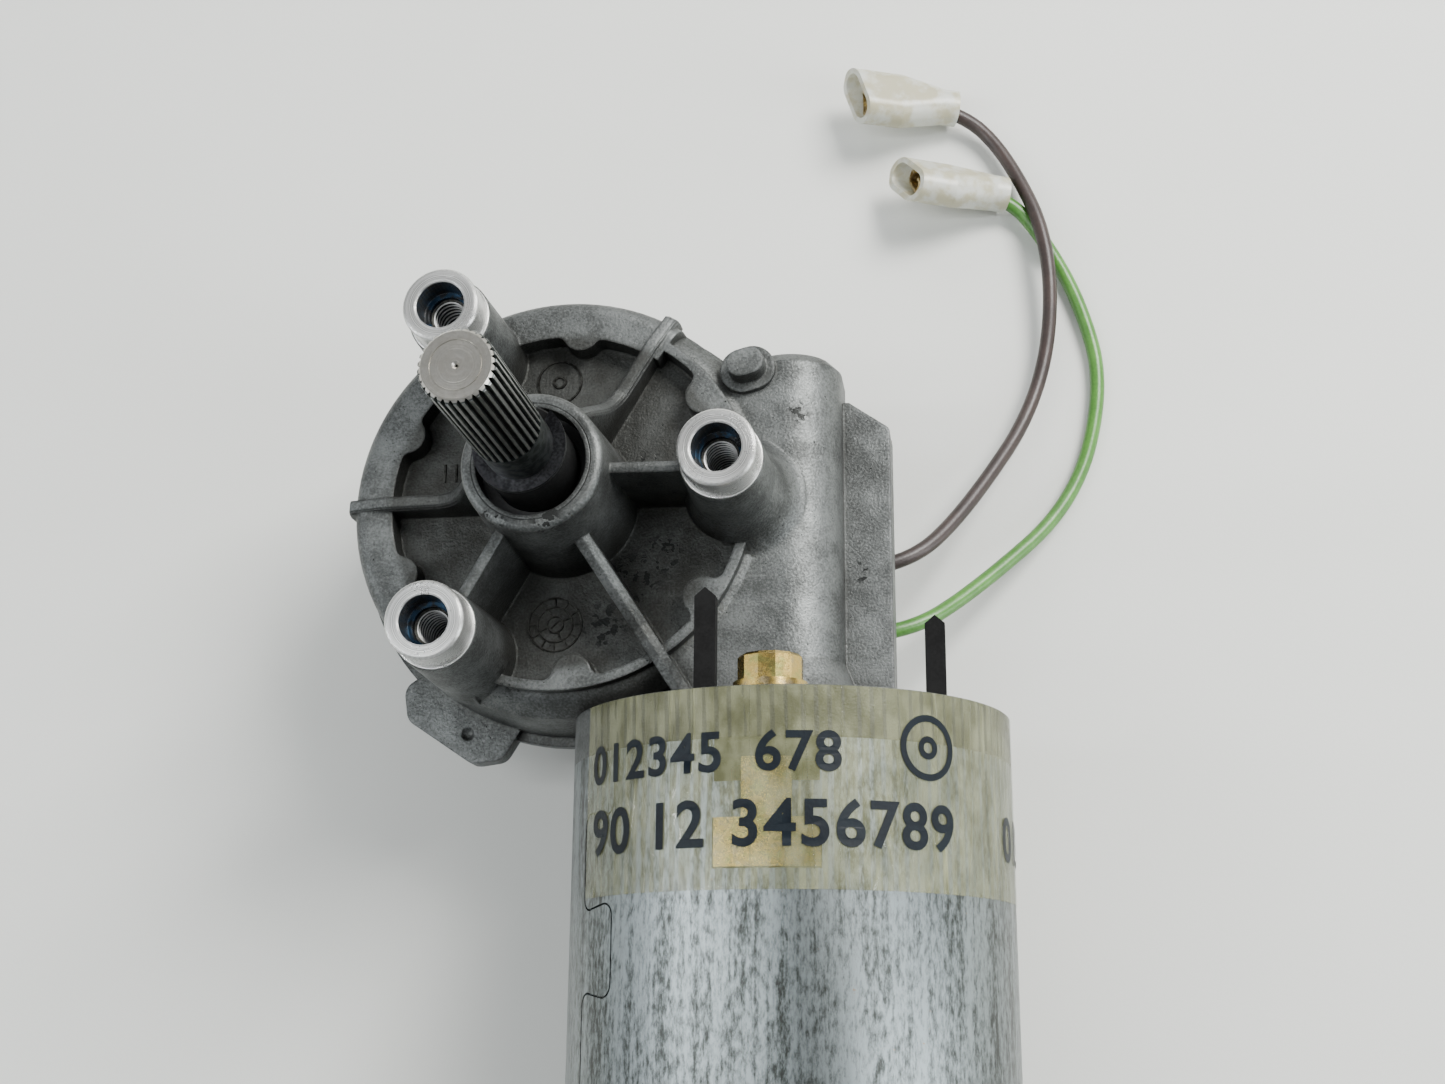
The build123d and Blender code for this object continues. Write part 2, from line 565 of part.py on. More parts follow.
# ---- armature shaft with its worm ---------------------------------------------------------------------
WORM_ROOT_R = WORM_PITCH_R - 1.25 * MODULE
WORM_TIP_R = WORM_PITCH_R + MODULE
WORM_LENGTH = WORM_TURNS * AXIAL_PITCH
THREAD_HALF = (AXIAL_PITCH / 2 - MESH_BACKLASH / 2) / 2
FLANK_TAN = tan(radians(PRESSURE_ANGLE))
END_SHAFT_S = 157.0
SINK = 0.4
WORM_CORE_S = -14.6

with BuildPart() as worm_thread:
    with BuildLine() as worm_helix:
        Helix(pitch=AXIAL_PITCH, height=WORM_LENGTH, radius=WORM_ROOT_R - SINK)
    with BuildSketch(Plane(origin=worm_helix.line @ 0, x_dir=(1, 0, 0), z_dir=worm_helix.line % 0)):
        foot = THREAD_HALF + (WORM_PITCH_R - WORM_ROOT_R + SINK) * FLANK_TAN
        crest = THREAD_HALF - MODULE * FLANK_TAN
        with BuildLine():
            Polyline((0, -foot), (WORM_TIP_R - WORM_ROOT_R + SINK, -crest),
                     (WORM_TIP_R - WORM_ROOT_R + SINK, crest), (0, foot), close=True)
        make_face()
    sweep(path=worm_helix.line, is_frenet=True)

with BuildPart() as armature_shaft:
    with BuildSketch(station(WORM_CORE_S)):
        Circle(WORM_ROOT_R)
    extrude(amount=WORM_LENGTH / 2 + 2 - WORM_CORE_S)
    with BuildSketch(station(TUBE_END_S + 3.5)):
        Circle(WORM_END_R)
    extrude(amount=WORM_CORE_S + 0.1 - TUBE_END_S - 3.5)
    with BuildSketch(station(0)):
        Circle(ARMATURE_SHAFT_R)
    extrude(amount=END_SHAFT_S)
    add(worm_thread.part.moved(station(-WORM_LENGTH / 2).location))
    chamfer(armature_shaft.faces().sort_by(Axis.Y)[0].edges(), 0.5)

with BuildPart() as worm_end_bush:
    ring(station(TUBE_END_S + 4.2), 6.0, WORM_END_R + RUN_FIT, 8.3)

with BuildPart() as thrust_screw:
    with BuildSketch(station(TUBE_END_S - 0.6)):
        Circle(4.95)
    extrude(amount=3.9)
    with BuildSketch(station(TUBE_END_S - 0.6)):
        Rectangle(7, 1.2)
    extrude(amount=1.2, mode=Mode.SUBTRACT)

# ---- bearings -----------------------------------------------------------------------------------------
BEARING_S = FLANGE_S - BEARING_W + 0.2
INNER_RACE_R = 5.9
OUTER_RACE_R = 7.7
BALL_R = 1.5

with BuildPart() as front_bearing_outer:
    ring(station(BEARING_S), BEARING_R, OUTER_RACE_R, BEARING_W)

with BuildPart() as front_bearing_inner:
    ring(station(BEARING_S), INNER_RACE_R, ARMATURE_SHAFT_R, BEARING_W)

with BuildPart() as front_bearing_cage:
    ring(station(BEARING_S + 0.6), OUTER_RACE_R - 0.05, INNER_RACE_R + 0.05, BEARING_W - 1.2)

with BuildPart() as rear_bush:
    ring(station(CAN_END_S + 0.5), 7.5, ARMATURE_SHAFT_R + RUN_FIT, 7.0)

# ---- armature -----------------------------------------------------------------------------------------
STACK_S = 70.0
STACK_L = 50.0
STACK_R = 29.6
SLOTS = 12
SLOT_W = 7.0

with BuildPart() as armature_stack:
    with BuildSketch(station(STACK_S)):
        Circle(STACK_R)
        Circle(ARMATURE_SHAFT_R, mode=Mode.SUBTRACT)
        with PolarLocations(STACK_R - 7.5, SLOTS):
            SlotOverall(11, SLOT_W, mode=Mode.SUBTRACT)
        with PolarLocations(STACK_R - 1, SLOTS):
            Rectangle(4, 2, mode=Mode.SUBTRACT)
    extrude(amount=STACK_L)

with BuildPart() as armature_windings:
    with BuildSketch(station(STACK_S)):
        with PolarLocations(STACK_R - 7.5, SLOTS):
            SlotOverall(10.4, SLOT_W - 0.6)
    extrude(amount=STACK_L)
    for s in (STACK_S - 7.0, STACK_S + STACK_L):
        ring(station(s), 27.6, 7.0, 7.0)
        winding_edges = armature_windings.faces().filter_by(Axis.Y).sort_by(Axis.Y)
    fillet(winding_edges[0].edges().sort_by(SortBy.LENGTH)[-1:], 3.0)

COMMUTATOR_R = 11.0

with BuildPart() as commutator:
    ring(station(49.0), COMMUTATOR_R, ARMATURE_SHAFT_R, 13.6)
    with BuildSketch(station(48.5)):
        with PolarLocations(COMMUTATOR_R, 24):
            Rectangle(2.0, 0.4)
    extrude(amount=12.5, mode=Mode.SUBTRACT)

# ---- brush gear ---------------------------------------------------------------------------------------
PLATE_S = FLANGE_S + COLLAR_WEB
PLATE_T = 2.2
BRUSH_W = 5.0
BRUSH_H = 6.0
BRUSH_S = 55.0
BRUSH_L = 11.0
BRUSH_TUBE_L = 16.0
TUBE_WALL = 0.5

with BuildPart() as brush_plate:
    ring(station(PLATE_S), COLLAR_BORE_R - 0.1, COMMUTATOR_R + 2.0, PLATE_T)
    with BuildSketch(station(PLATE_S)):
        for angle in BOLT_ANGLES:
            with Locations((BOLT_R * cos(radians(angle)), BOLT_R * sin(radians(angle)))):
                Circle(7.0)
    extrude(amount=PLATE_T, mode=Mode.SUBTRACT)
    with BuildSketch(station(PLATE_S + PLATE_T)):
        with PolarLocations(22.5, 2, start_angle=0):
            Rectangle(12, 9)
    extrude(amount=BRUSH_S - BRUSH_H / 2 - TUBE_WALL - 0.05 - PLATE_S - PLATE_T)
    # pointed prongs through the flange
    for angle in PRONG_ANGLES:
        x = PRONG_R * cos(radians(angle))
        y = PRONG_R * sin(radians(angle))
        reach = PRONG_TIP_S + PRONG_POINT
        with BuildSketch(Plane(origin=MOTOR.from_local_coords((x, y, 0)), x_dir=(1, 0, 0), z_dir=(0, 0, 1))):
            Polygon((-PRONG_W / 2, -PLATE_S - PLATE_T), (PRONG_W / 2, -PLATE_S - PLATE_T), (PRONG_W / 2, -reach),
                    (0, -PRONG_TIP_S), (-PRONG_W / 2, -reach), align=None)
        extrude(amount=PRONG_T / 2, both=True)

with BuildPart() as brush_tubes:
    for side in (1, -1):
        face = Plane(origin=station(BRUSH_S).from_local_coords((side * (COMMUTATOR_R + 1.5), 0, 0)),
                     x_dir=MOTOR.y_dir, z_dir=MOTOR.x_dir * side)
        with BuildSketch(face):
            Rectangle(BRUSH_W + 2 * TUBE_WALL + 0.1, BRUSH_H + 2 * TUBE_WALL + 0.1)
            Rectangle(BRUSH_W + 0.1, BRUSH_H + 0.1, mode=Mode.SUBTRACT)
        extrude(amount=BRUSH_TUBE_L)
        with BuildSketch(face.offset(BRUSH_TUBE_L)):
            Rectangle(BRUSH_W + 2 * TUBE_WALL + 0.1, BRUSH_H + 2 * TUBE_WALL + 0.1)
        extrude(amount=0.6)

with BuildPart() as brushes:
    for side in (1, -1):
        face = Plane(origin=station(BRUSH_S).from_local_coords((side * (COMMUTATOR_R + 0.05), 0, 0)),
                     x_dir=MOTOR.y_dir, z_dir=MOTOR.x_dir * side)
        with BuildSketch(face):
            Rectangle(BRUSH_W, BRUSH_H)
        extrude(amount=BRUSH_L)

SPRING_WIRE = 0.5
SPRING_R = 1.7
SPRING_L = BRUSH_TUBE_L + 1.45 - BRUSH_L - 0.1

with BuildPart() as spring_coil:
    with BuildLine() as spring_helix:
        Helix(pitch=(SPRING_L - SPRING_WIRE) / 4, height=SPRING_L - SPRING_WIRE, radius=SPRING_R)
    with BuildSketch(Plane(origin=spring_helix.line @ 0, z_dir=spring_helix.line % 0)):
        Circle(SPRING_WIRE / 2)
    sweep(path=spring_helix.line, is_frenet=True)

with BuildPart() as brush_springs:
    for side in (1, -1):
        face = Plane(origin=station(BRUSH_S).from_local_coords(
            (side * (COMMUTATOR_R + 0.05 + BRUSH_L + 0.05 + SPRING_WIRE / 2), 0, 0)),
            x_dir=MOTOR.y_dir, z_dir=MOTOR.x_dir * side)
        add(spring_coil.part.moved(face.location))

# ---- can, end cap and magnets -------------------------------------------------------------------------
SEAM_ANGLE = 140.0
SEAM_LOBE = 14.6
SEAM_STEP = 4.8
SEAM_COUNT = 4
SEAM_START_S = 45.4
SEAM_CORNER = 2.2
SEAM_PITCH = 29.6

with BuildPart() as motor_can:
    ring(station(JOINT_S), CAN_R, CAN_R - CAN_WALL, CAN_END_S - JOINT_S)
    # T-slots at top and bottom for the hammer-head anchors
    for side in (1, -1):
        slot_face = Plane(origin=MOTOR.origin, x_dir=(1, 0, 0), z_dir=(0, 0, 1)).offset(side * (CAN_R - 8))
        with BuildSketch(slot_face):
            for half, start, end in ((MOUTH_HALF, JOINT_S - 1, MOUTH_END_S), (NECK_HALF, JOINT_S, FOOT_END_S),
                                     (FOOT_HALF, NECK_END_S, FOOT_END_S)):
                with Locations((0, -(start + end) / 2)):
                    Rectangle(2 * half, end - start)
        extrude(amount=side * 10, mode=Mode.SUBTRACT)
    # interlocking seam, drawn as a shallow groove
    seam_face = Plane(origin=station(0).from_local_coords(
        (CAN_R * cos(radians(SEAM_ANGLE)), CAN_R * sin(radians(SEAM_ANGLE)), 0)),
        x_dir=(0, -1, 0), z_dir=MOTOR.x_dir * cos(radians(SEAM_ANGLE)) + MOTOR.y_dir * sin(radians(SEAM_ANGLE)))
    with BuildSketch(seam_face):
        with BuildLine() as seam_line:
            corners = [(JOINT_S - 1, SEAM_STEP)]
            for k in range(SEAM_COUNT):
                start = SEAM_START_S + k * SEAM_PITCH
                end = start + SEAM_LOBE
                if k > 0:
                    corners += [(start + 0.9, -SEAM_STEP), (start - 0.6, SEAM_STEP)]
                corners += [(end + 0.6, SEAM_STEP), (end - 0.9, -SEAM_STEP)]
            corners += [(CAN_END_S + 1, -SEAM_STEP)]
            FilletPolyline(*corners, radius=SEAM_CORNER)
        trace(line_width=0.35)
    extrude(amount=-0.9, both=True, mode=Mode.SUBTRACT)

with BuildPart() as end_cap:
    with BuildSketch(station(CAN_END_S)):
        Circle(CAN_R)
    extrude(amount=2.0)
    with BuildSketch(station(CAN_END_S - 5)):
        Circle(CAN_R - CAN_WALL - 0.05)
    extrude(amount=5)
    with BuildSketch(station(CAN_END_S - 5)):
        Circle(CAN_R - CAN_WALL - 2)
    extrude(amount=5, mode=Mode.SUBTRACT)
    with BuildSketch(station(CAN_END_S)):
        Circle(12)
    extrude(amount=9, taper=6)
    fillet(end_cap.faces().sort_by(Axis.Y)[0].edges(), 1.5)
    with BuildSketch(station(CAN_END_S)):
        Circle(7.5)
    extrude(amount=7.5, mode=Mode.SUBTRACT)
    with BuildSketch(station(CAN_END_S + 2)):
        with PolarLocations(30, 4, start_angle=45):
            Rectangle(9, 3)
    extrude(amount=-0.8, mode=Mode.SUBTRACT)

MAGNET_S = 64.0
MAGNET_L = 62.0
MAGNET_HALF = 62.0

with BuildPart() as magnets:
    with BuildSketch(station(MAGNET_S + 10)):
        Circle(CAN_R - CAN_WALL)
        Circle(STACK_R + 0.8, mode=Mode.SUBTRACT)
        for side in (90, 270):
            with BuildLine():
                Polyline((0, 0), (90 * cos(radians(side - 28)), 90 * sin(radians(side - 28))),
                         (90 * cos(radians(side + 28)), 90 * sin(radians(side + 28))), close=True)
            make_face(mode=Mode.SUBTRACT)
    extrude(amount=MAGNET_L)

with BuildPart() as magnet_clips:
    with BuildSketch(station(MAGNET_S + 12)):
        Circle(CAN_R - CAN_WALL - 0.02)
        Circle(CAN_R - CAN_WALL - 0.8, mode=Mode.SUBTRACT)
        for side in (0, 180):
            with BuildLine():
                Polyline((0, 0), (90 * cos(radians(side - 62.5)), 90 * sin(radians(side - 62.5))),
                         (200 * cos(radians(side)), 200 * sin(radians(side))),
                         (90 * cos(radians(side + 62.5)), 90 * sin(radians(side + 62.5))), close=True)
            make_face(mode=Mode.SUBTRACT)
    extrude(amount=MAGNET_L - 4)

# ---- anchors and flange bolts -------------------------------------------------------------------------
ANCHOR_FACE = CAN_R - 0.15
ANCHOR_DEPTH = 9.5
ANCHOR_TOP_S = 52.6

with BuildPart() as anchor_nuts:
    for side in (1, -1):
        slot_face = Plane(origin=MOTOR.origin, x_dir=(1, 0, 0), z_dir=(0, 0, 1)).offset(side * (CAN_R - 9))
        with BuildSketch(slot_face):
            for half, start, end in ((NECK_HALF - 0.1, ANCHOR_TOP_S, FOOT_END_S - 0.3),
                                     (FOOT_HALF - 0.2, NECK_END_S + 0.02, FOOT_END_S - 0.3)):
                with Locations((0, -(start + end) / 2)):
                    Rectangle(2 * half, end - start)
        extrude(amount=side * 20)
    with BuildSketch(station(JOINT_S - 2)):
        Circle(60)
        Circle(ANCHOR_FACE, mode=Mode.SUBTRACT)
    extrude(amount=40, mode=Mode.SUBTRACT)
    for angle in BOLT_ANGLES:
        with BuildSketch(station(JOINT_S)):
            with Locations((BOLT_R * cos(radians(angle)), BOLT_R * sin(radians(angle)))):
                Circle(2.5)
        extrude(amount=13, mode=Mode.SUBTRACT)

BOLT_FACES = 12
BOLT_AF = 10.6
BOLT_HEAD_H = 4.6
BOLT_FLANGE_D = 12.4

with BuildPart() as flange_bolts:
    for angle in BOLT_ANGLES:
        x = BOLT_R * cos(radians(angle))
        y = BOLT_R * sin(radians(angle))
        with BuildSketch(station(FLANGE_S)):
            with Locations((x, y)):
                Circle(BOLT_FLANGE_D / 2)
        extrude(amount=-1.3)
        with BuildSketch(station(FLANGE_S - 1.3)):
            with Locations((x, y)):
                RegularPolygon(BOLT_AF / 2, BOLT_FACES, major_radius=False, rotation=15)
        extrude(amount=-BOLT_HEAD_H)
        with BuildSketch(station(FLANGE_S)):
            with Locations((x, y)):
                Circle(2.5)
        extrude(amount=19)
    chamfer(flange_bolts.faces().filter_by(Axis.Y).sort_by(Axis.Y)[-2:].edges(), 0.5)

# ---- tape ---------------------------------------------------------------------------------------------
TAPE_T = 0.15
TAPE_FROM = 146.0
TAPE_TO = -62.0

with BuildPart() as label_tape:
    with BuildSketch(station(FLANGE_S + 0.1)):
        Circle(CAN_R + TAPE_T)
        Circle(CAN_R, mode=Mode.SUBTRACT)
        gap_middle = (TAPE_FROM + TAPE_TO + 360) / 2
        with BuildLine():
            Polyline((0, 0), (200 * cos(radians(TAPE_FROM)), 200 * sin(radians(TAPE_FROM))),
                     (400 * cos(radians(gap_middle)), 400 * sin(radians(gap_middle))),
                     (200 * cos(radians(TAPE_TO)), 200 * sin(radians(TAPE_TO))), close=True)
        make_face(mode=Mode.SUBTRACT)
    extrude(amount=TAPE_END_S - FLANGE_S)

# ---- leads --------------------------------------------------------------------------------------------
GROMMET_FACE_X = COMPARTMENT_X + 1.2
SLEEVE_L = 24.5
LEAD_INSIDE = 11.0

with BuildPart() as cable_grommet:
    with BuildSketch(Plane.YZ.offset(COMPARTMENT_X - 3.4)):
        with Locations((sum(EXIT_YS) / 2, EXIT_Z)):
            SlotOverall(20.3, 6.9)
    extrude(amount=3.6)
    with BuildSketch(Plane.YZ.offset(COMPARTMENT_X)):
        with Locations((sum(EXIT_YS) / 2, EXIT_Z)):
            SlotOverall(22.4, 8.8)
    extrude(amount=GROMMET_FACE_X - COMPARTMENT_X)
    fillet(cable_grommet.faces().sort_by(Axis.X)[-1].edges(), 0.5)


def unit(v):
    return Vector(*v).normalized()


def corner_radii(points):
    """Tangent arc at each corner: 0.45 of the shorter run over the tangent of half the turn."""
    radii = []
    for before, corner, after in zip(points, points[1:], points[2:]):
        a = Vector(*corner) - Vector(*before)
        b = Vector(*after) - Vector(*corner)
        half_turn = radians(a.get_angle(b)) / 2
        radii.append(0.45 * min(a.length, b.length) / tan(half_turn))
    return radii


BROWN_NECK = (74.6, 101.4, -73.6)
BROWN_AXIS = unit((-0.95, 0.05, 0.30))
BROWN_FLAT = (0.25, -0.96, 0.12)
GREEN_NECK = (84.6, 80.2, -74.0)
GREEN_AXIS = unit((-0.93, 0.06, 0.34))
GREEN_FLAT = (0.55, -0.70, 0.50)

BROWN_ROUTE = [(GROMMET_FACE_X, EXIT_YS[0], EXIT_Z), (62.0, EXIT_YS[0], EXIT_Z), (74.0, 6.4, -65.0), (91.2, 35.0, -75.4),
               (94.2, 66.0, -71.4), (84.8, 91.8, -75.6), BROWN_NECK]
GREEN_ROUTE = [(GROMMET_FACE_X, EXIT_YS[1], EXIT_Z), (62.0, EXIT_YS[1], EXIT_Z), (75.5, -9.6, -66.0),
               (96.5, 11.0, -76.2), (103.4, 36.5, -76.35), (99.4, 55.5, -76.35), (92.4, 70.4, -75.9), GREEN_NECK]
BROWN_ROUTE.append(tuple(Vector(*BROWN_NECK) + BROWN_AXIS * LEAD_INSIDE))
GREEN_ROUTE.append(tuple(Vector(*GREEN_NECK) + GREEN_AXIS * LEAD_INSIDE))

with BuildPart() as lead_brown:
    with BuildLine() as brown_path:
        FilletPolyline(*BROWN_ROUTE, radius=corner_radii(BROWN_ROUTE))
    with BuildSketch(Plane(origin=brown_path.line @ 0, z_dir=brown_path.line % 0)):
        Circle(LEAD_D / 2)
    sweep()

with BuildPart() as lead_green:
    with BuildLine() as green_path:
        FilletPolyline(*GREEN_ROUTE, radius=corner_radii(GREEN_ROUTE))
    with BuildSketch(Plane(origin=green_path.line @ 0, z_dir=green_path.line % 0)):
        Circle(LEAD_D / 2)
    sweep()

for label, route, path, lead in (("brown", BROWN_ROUTE, brown_path, lead_brown),
                                 ("green", GREEN_ROUTE, green_path, lead_green)):
    runs = [(Vector(*b) - Vector(*a)).length for a, b in zip(route, route[1:])]
    length = sum(edge.length for edge in path.edges())
    print(label, "runs", [round(r, 1) for r in runs], "radii", [round(r, 1) for r in corner_radii(route)],
          "length", round(length, 1), "volume ratio", round(lead.part.volume / (pi * LEAD_D**2 / 4 * length), 4))

SLEEVE_W = 12.8
SLEEVE_H = 7.4
SLEEVE_WALL = 1.15
NECK_WALL = 0.7
MOUTH_NORMAL = (0.30, 0.20, 0.93)
SLEEVE_STRAIGHT = 12.0
NECK_R = 3.8
NECK_L = 3.0
TERMINAL_IN = 4.0
TERMINAL_L = 8.0
SHEET_T = 0.45


def sleeve_plane(neck, axis, flat):
    """Plane across the sleeve at its neck, with x along its width and z towards the mouth."""
    across = Vector(*flat) - axis * axis.dot(Vector(*flat))
    return Plane(origin=neck, x_dir=across.normalized(), z_dir=axis)


with BuildPart() as sleeve_blank:
    for inset, neck_inset, mode in ((0, 0, Mode.ADD), (SLEEVE_WALL, NECK_WALL, Mode.SUBTRACT)):
        with BuildSketch(Plane.XY.offset(SLEEVE_L - SLEEVE_STRAIGHT)):
            SlotOverall(SLEEVE_W - 2 * inset, SLEEVE_H - 2 * inset)
        extrude(amount=SLEEVE_STRAIGHT, mode=mode)
        with BuildSketch(Plane.XY.offset(NECK_L)):
            SlotOverall(2 * (NECK_R - neck_inset) + 0.1, 2 * (NECK_R - neck_inset))
        with BuildSketch(Plane.XY.offset(SLEEVE_L - SLEEVE_STRAIGHT)):
            SlotOverall(SLEEVE_W - 2 * inset, SLEEVE_H - 2 * inset)
        loft(mode=mode)
        with BuildSketch(Plane.XY):
            SlotOverall(2 * (NECK_R - neck_inset) + 0.1, 2 * (NECK_R - neck_inset))
        extrude(amount=NECK_L, mode=mode)
    # the mouth is cut on a slant
    with BuildSketch(Plane(origin=(0, 0, SLEEVE_L - 2.2), z_dir=MOUTH_NORMAL)):
        Rectangle(40, 40)
    extrude(amount=10, mode=Mode.SUBTRACT)

with BuildPart() as terminal_blank:
    mouth = SLEEVE_L - TERMINAL_IN
    with BuildSketch(Plane.XY.offset(mouth - TERMINAL_L)):
        with Locations((0, -1.55)):
            Rectangle(6.6, SHEET_T)
        for side in (-1, 1):
            with Locations((side * 2.9, -0.2)):
                Circle(1.58)
                Circle(1.58 - SHEET_T, mode=Mode.SUBTRACT)
        with Locations((0, -0.1)):
            Rectangle(3.9, 2.3, mode=Mode.SUBTRACT)
    extrude(amount=TERMINAL_L)
    with BuildSketch(Plane.XY.offset(LEAD_INSIDE)):
        Circle(1.6)
    extrude(amount=mouth - TERMINAL_L - LEAD_INSIDE + 1.0)
    with BuildSketch(Plane.XY.offset(mouth - TERMINAL_L - 0.6)):
        with Locations((0, -1.0)):
            Rectangle(6.6, 1.4)
    extrude(amount=1.4)

with BuildPart() as sleeve_brown:
    add(sleeve_blank.part.moved(sleeve_plane(BROWN_NECK, BROWN_AXIS, BROWN_FLAT).location))

with BuildPart() as sleeve_green:
    add(sleeve_blank.part.moved(sleeve_plane(GREEN_NECK, GREEN_AXIS, GREEN_FLAT).location))

with BuildPart() as terminal_brown:
    add(terminal_blank.part.moved(sleeve_plane(BROWN_NECK, BROWN_AXIS, BROWN_FLAT).location))

with BuildPart() as terminal_green:
    add(terminal_blank.part.moved(sleeve_plane(GREEN_NECK, GREEN_AXIS, GREEN_FLAT).location))

# ---- export -------------------------------------------------------------------------------------------
export(gearbox_housing, "gearbox_housing")
export(gear_cover, "gear_cover")
export(cover_gasket, "cover_gasket")
export(cover_screws, "cover_screws")
export(output_shaft, "output_shaft")
export(retaining_ring, "retaining_ring")
export(shaft_spacer, "shaft_spacer")
export(shaft_seal, "shaft_seal")
export(shaft_bushes, "shaft_bushes")
export(thrust_washers, "thrust_washers")
export(wheel_hub, "wheel_hub")
export(worm_wheel, "worm_wheel")
export(armature_shaft, "armature_shaft")
export(worm_end_bush, "worm_end_bush")
export(thrust_screw, "thrust_screw")
export(front_bearing_outer, "front_bearing_outer")
export(front_bearing_inner, "front_bearing_inner")
export(front_bearing_cage, "front_bearing_cage")
export(rear_bush, "rear_bush")
export(armature_stack, "armature_stack")
export(armature_windings, "armature_windings")
export(commutator, "commutator")
export(brush_plate, "brush_plate")
export(brush_tubes, "brush_tubes")
export(brushes, "brushes")
export(brush_springs, "brush_springs")
export(motor_can, "motor_can")
export(end_cap, "end_cap")
export(magnets, "magnets")
export(magnet_clips, "magnet_clips")
export(anchor_nuts, "anchor_nuts")
export(flange_bolts, "flange_bolts")
export(label_tape, "label_tape")
export(cable_grommet, "cable_grommet")
export(lead_brown, "lead_brown")
export(lead_green, "lead_green")
export(sleeve_brown, "sleeve_brown")
export(sleeve_green, "sleeve_green")
export(terminal_brown, "terminal_brown")
export(terminal_green, "terminal_green")
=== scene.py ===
import json
from math import cos, pi, radians, sin

import bpy
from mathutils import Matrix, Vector


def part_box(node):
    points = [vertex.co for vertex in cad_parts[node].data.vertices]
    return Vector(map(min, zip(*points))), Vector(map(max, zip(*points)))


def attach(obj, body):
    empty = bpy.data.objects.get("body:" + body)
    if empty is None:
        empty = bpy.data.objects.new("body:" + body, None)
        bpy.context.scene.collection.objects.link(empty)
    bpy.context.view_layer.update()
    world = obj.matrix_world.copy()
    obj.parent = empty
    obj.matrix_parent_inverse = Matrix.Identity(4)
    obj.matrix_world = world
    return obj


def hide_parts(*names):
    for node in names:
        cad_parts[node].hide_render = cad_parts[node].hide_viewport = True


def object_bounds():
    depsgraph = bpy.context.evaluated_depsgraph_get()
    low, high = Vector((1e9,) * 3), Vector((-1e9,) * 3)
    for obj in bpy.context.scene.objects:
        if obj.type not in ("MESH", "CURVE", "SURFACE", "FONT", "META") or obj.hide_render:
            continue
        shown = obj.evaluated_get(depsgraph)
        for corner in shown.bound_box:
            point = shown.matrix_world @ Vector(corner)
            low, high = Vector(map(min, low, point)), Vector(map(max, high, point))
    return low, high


# Looks for the geared dc motor. Metres, +Z out along the output shaft, the motor axis parallel to Y.
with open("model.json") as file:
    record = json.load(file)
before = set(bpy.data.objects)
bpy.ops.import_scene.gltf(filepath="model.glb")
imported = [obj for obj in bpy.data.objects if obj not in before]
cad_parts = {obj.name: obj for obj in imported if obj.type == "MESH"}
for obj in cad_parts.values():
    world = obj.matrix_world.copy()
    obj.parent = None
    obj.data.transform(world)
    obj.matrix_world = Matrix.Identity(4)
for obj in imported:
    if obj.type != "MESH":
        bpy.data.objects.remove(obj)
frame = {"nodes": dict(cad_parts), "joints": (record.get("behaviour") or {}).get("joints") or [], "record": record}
cad_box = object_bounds()
nodes = frame["nodes"]
MM = 0.001

# ---- places taken from the frame ------------------------------------------------------------------------
REST_Z = cad_box[0][2]
boss_pattern = next(m for m in frame["record"]["mounts"] if m["name"] == "boss_pattern")
BOLT_CIRCLE_R = boss_pattern["dims"]["pcd_mm"] * MM / 2
BOSSES = [(BOLT_CIRCLE_R * cos(k * 2 * pi / 3), BOLT_CIRCLE_R * sin(k * 2 * pi / 3)) for k in range(3)]
armature = next(j for j in frame["joints"] if j["name"] == "armature_spin")
MOTOR_X, _, MOTOR_Z = armature["pos_m"]
CAN_R = (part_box("motor_can")[1].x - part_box("motor_can")[0].x) / 2
FLOOR_Z = -30.6 * MM
HUB_TOP_Z = -3.6 * MM
COLLAR_FOOT_Z = -6.1 * MM
COLLAR_R = 7.2 * MM
BORE_R = 4.35 * MM
HUB_RECESS_R = 9.8 * MM
HUB_GROOVE_R = 10.6 * MM
INNER_FLOOR_R = 31.0 * MM
SHAFT_R = 5.95 * MM
SERRATION_FROM_Z = 14.0 * MM
SHAFT_TOP_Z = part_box("output_shaft")[1].z


def on_can(angle, s, r):
    """Point at a station along the motor axis, an angle up from +X and a radius, all from the axis."""
    return Vector((MOTOR_X + r * cos(radians(angle)), -s, MOTOR_Z + r * sin(radians(angle))))


# ---- camera and light -----------------------------------------------------------------------------------
CAMERA_AT = (75.7 * MM, -98.2 * MM, 284.3 * MM)
CAMERA_TURN = (15.88, 8.18, 0.40)
LENS_MM = 44.84

camera_data = bpy.data.cameras.new("camera")
camera_data.lens = LENS_MM
camera_data.clip_start = 0.01
camera = bpy.data.objects.new("camera", camera_data)
camera.location = CAMERA_AT
camera.rotation_euler = [radians(a) for a in CAMERA_TURN]
bpy.context.scene.collection.objects.link(camera)
bpy.context.scene.camera = camera


def link(name, data):
    made = bpy.data.objects.new(name, data)
    bpy.context.scene.collection.objects.link(made)
    return made


def area_light(name, at, size, watts, colour=(1, 1, 1), target=(0.03, -0.03, -0.04)):
    data = bpy.data.lights.new(name, "AREA")
    data.shape = "RECTANGLE"
    data.size, data.size_y = size
    data.energy = watts
    data.color = colour
    lamp = link(name, data)
    lamp.location = at
    lamp.rotation_euler = (Vector(target) - Vector(at)).to_track_quat("-Z", "Y").to_euler()


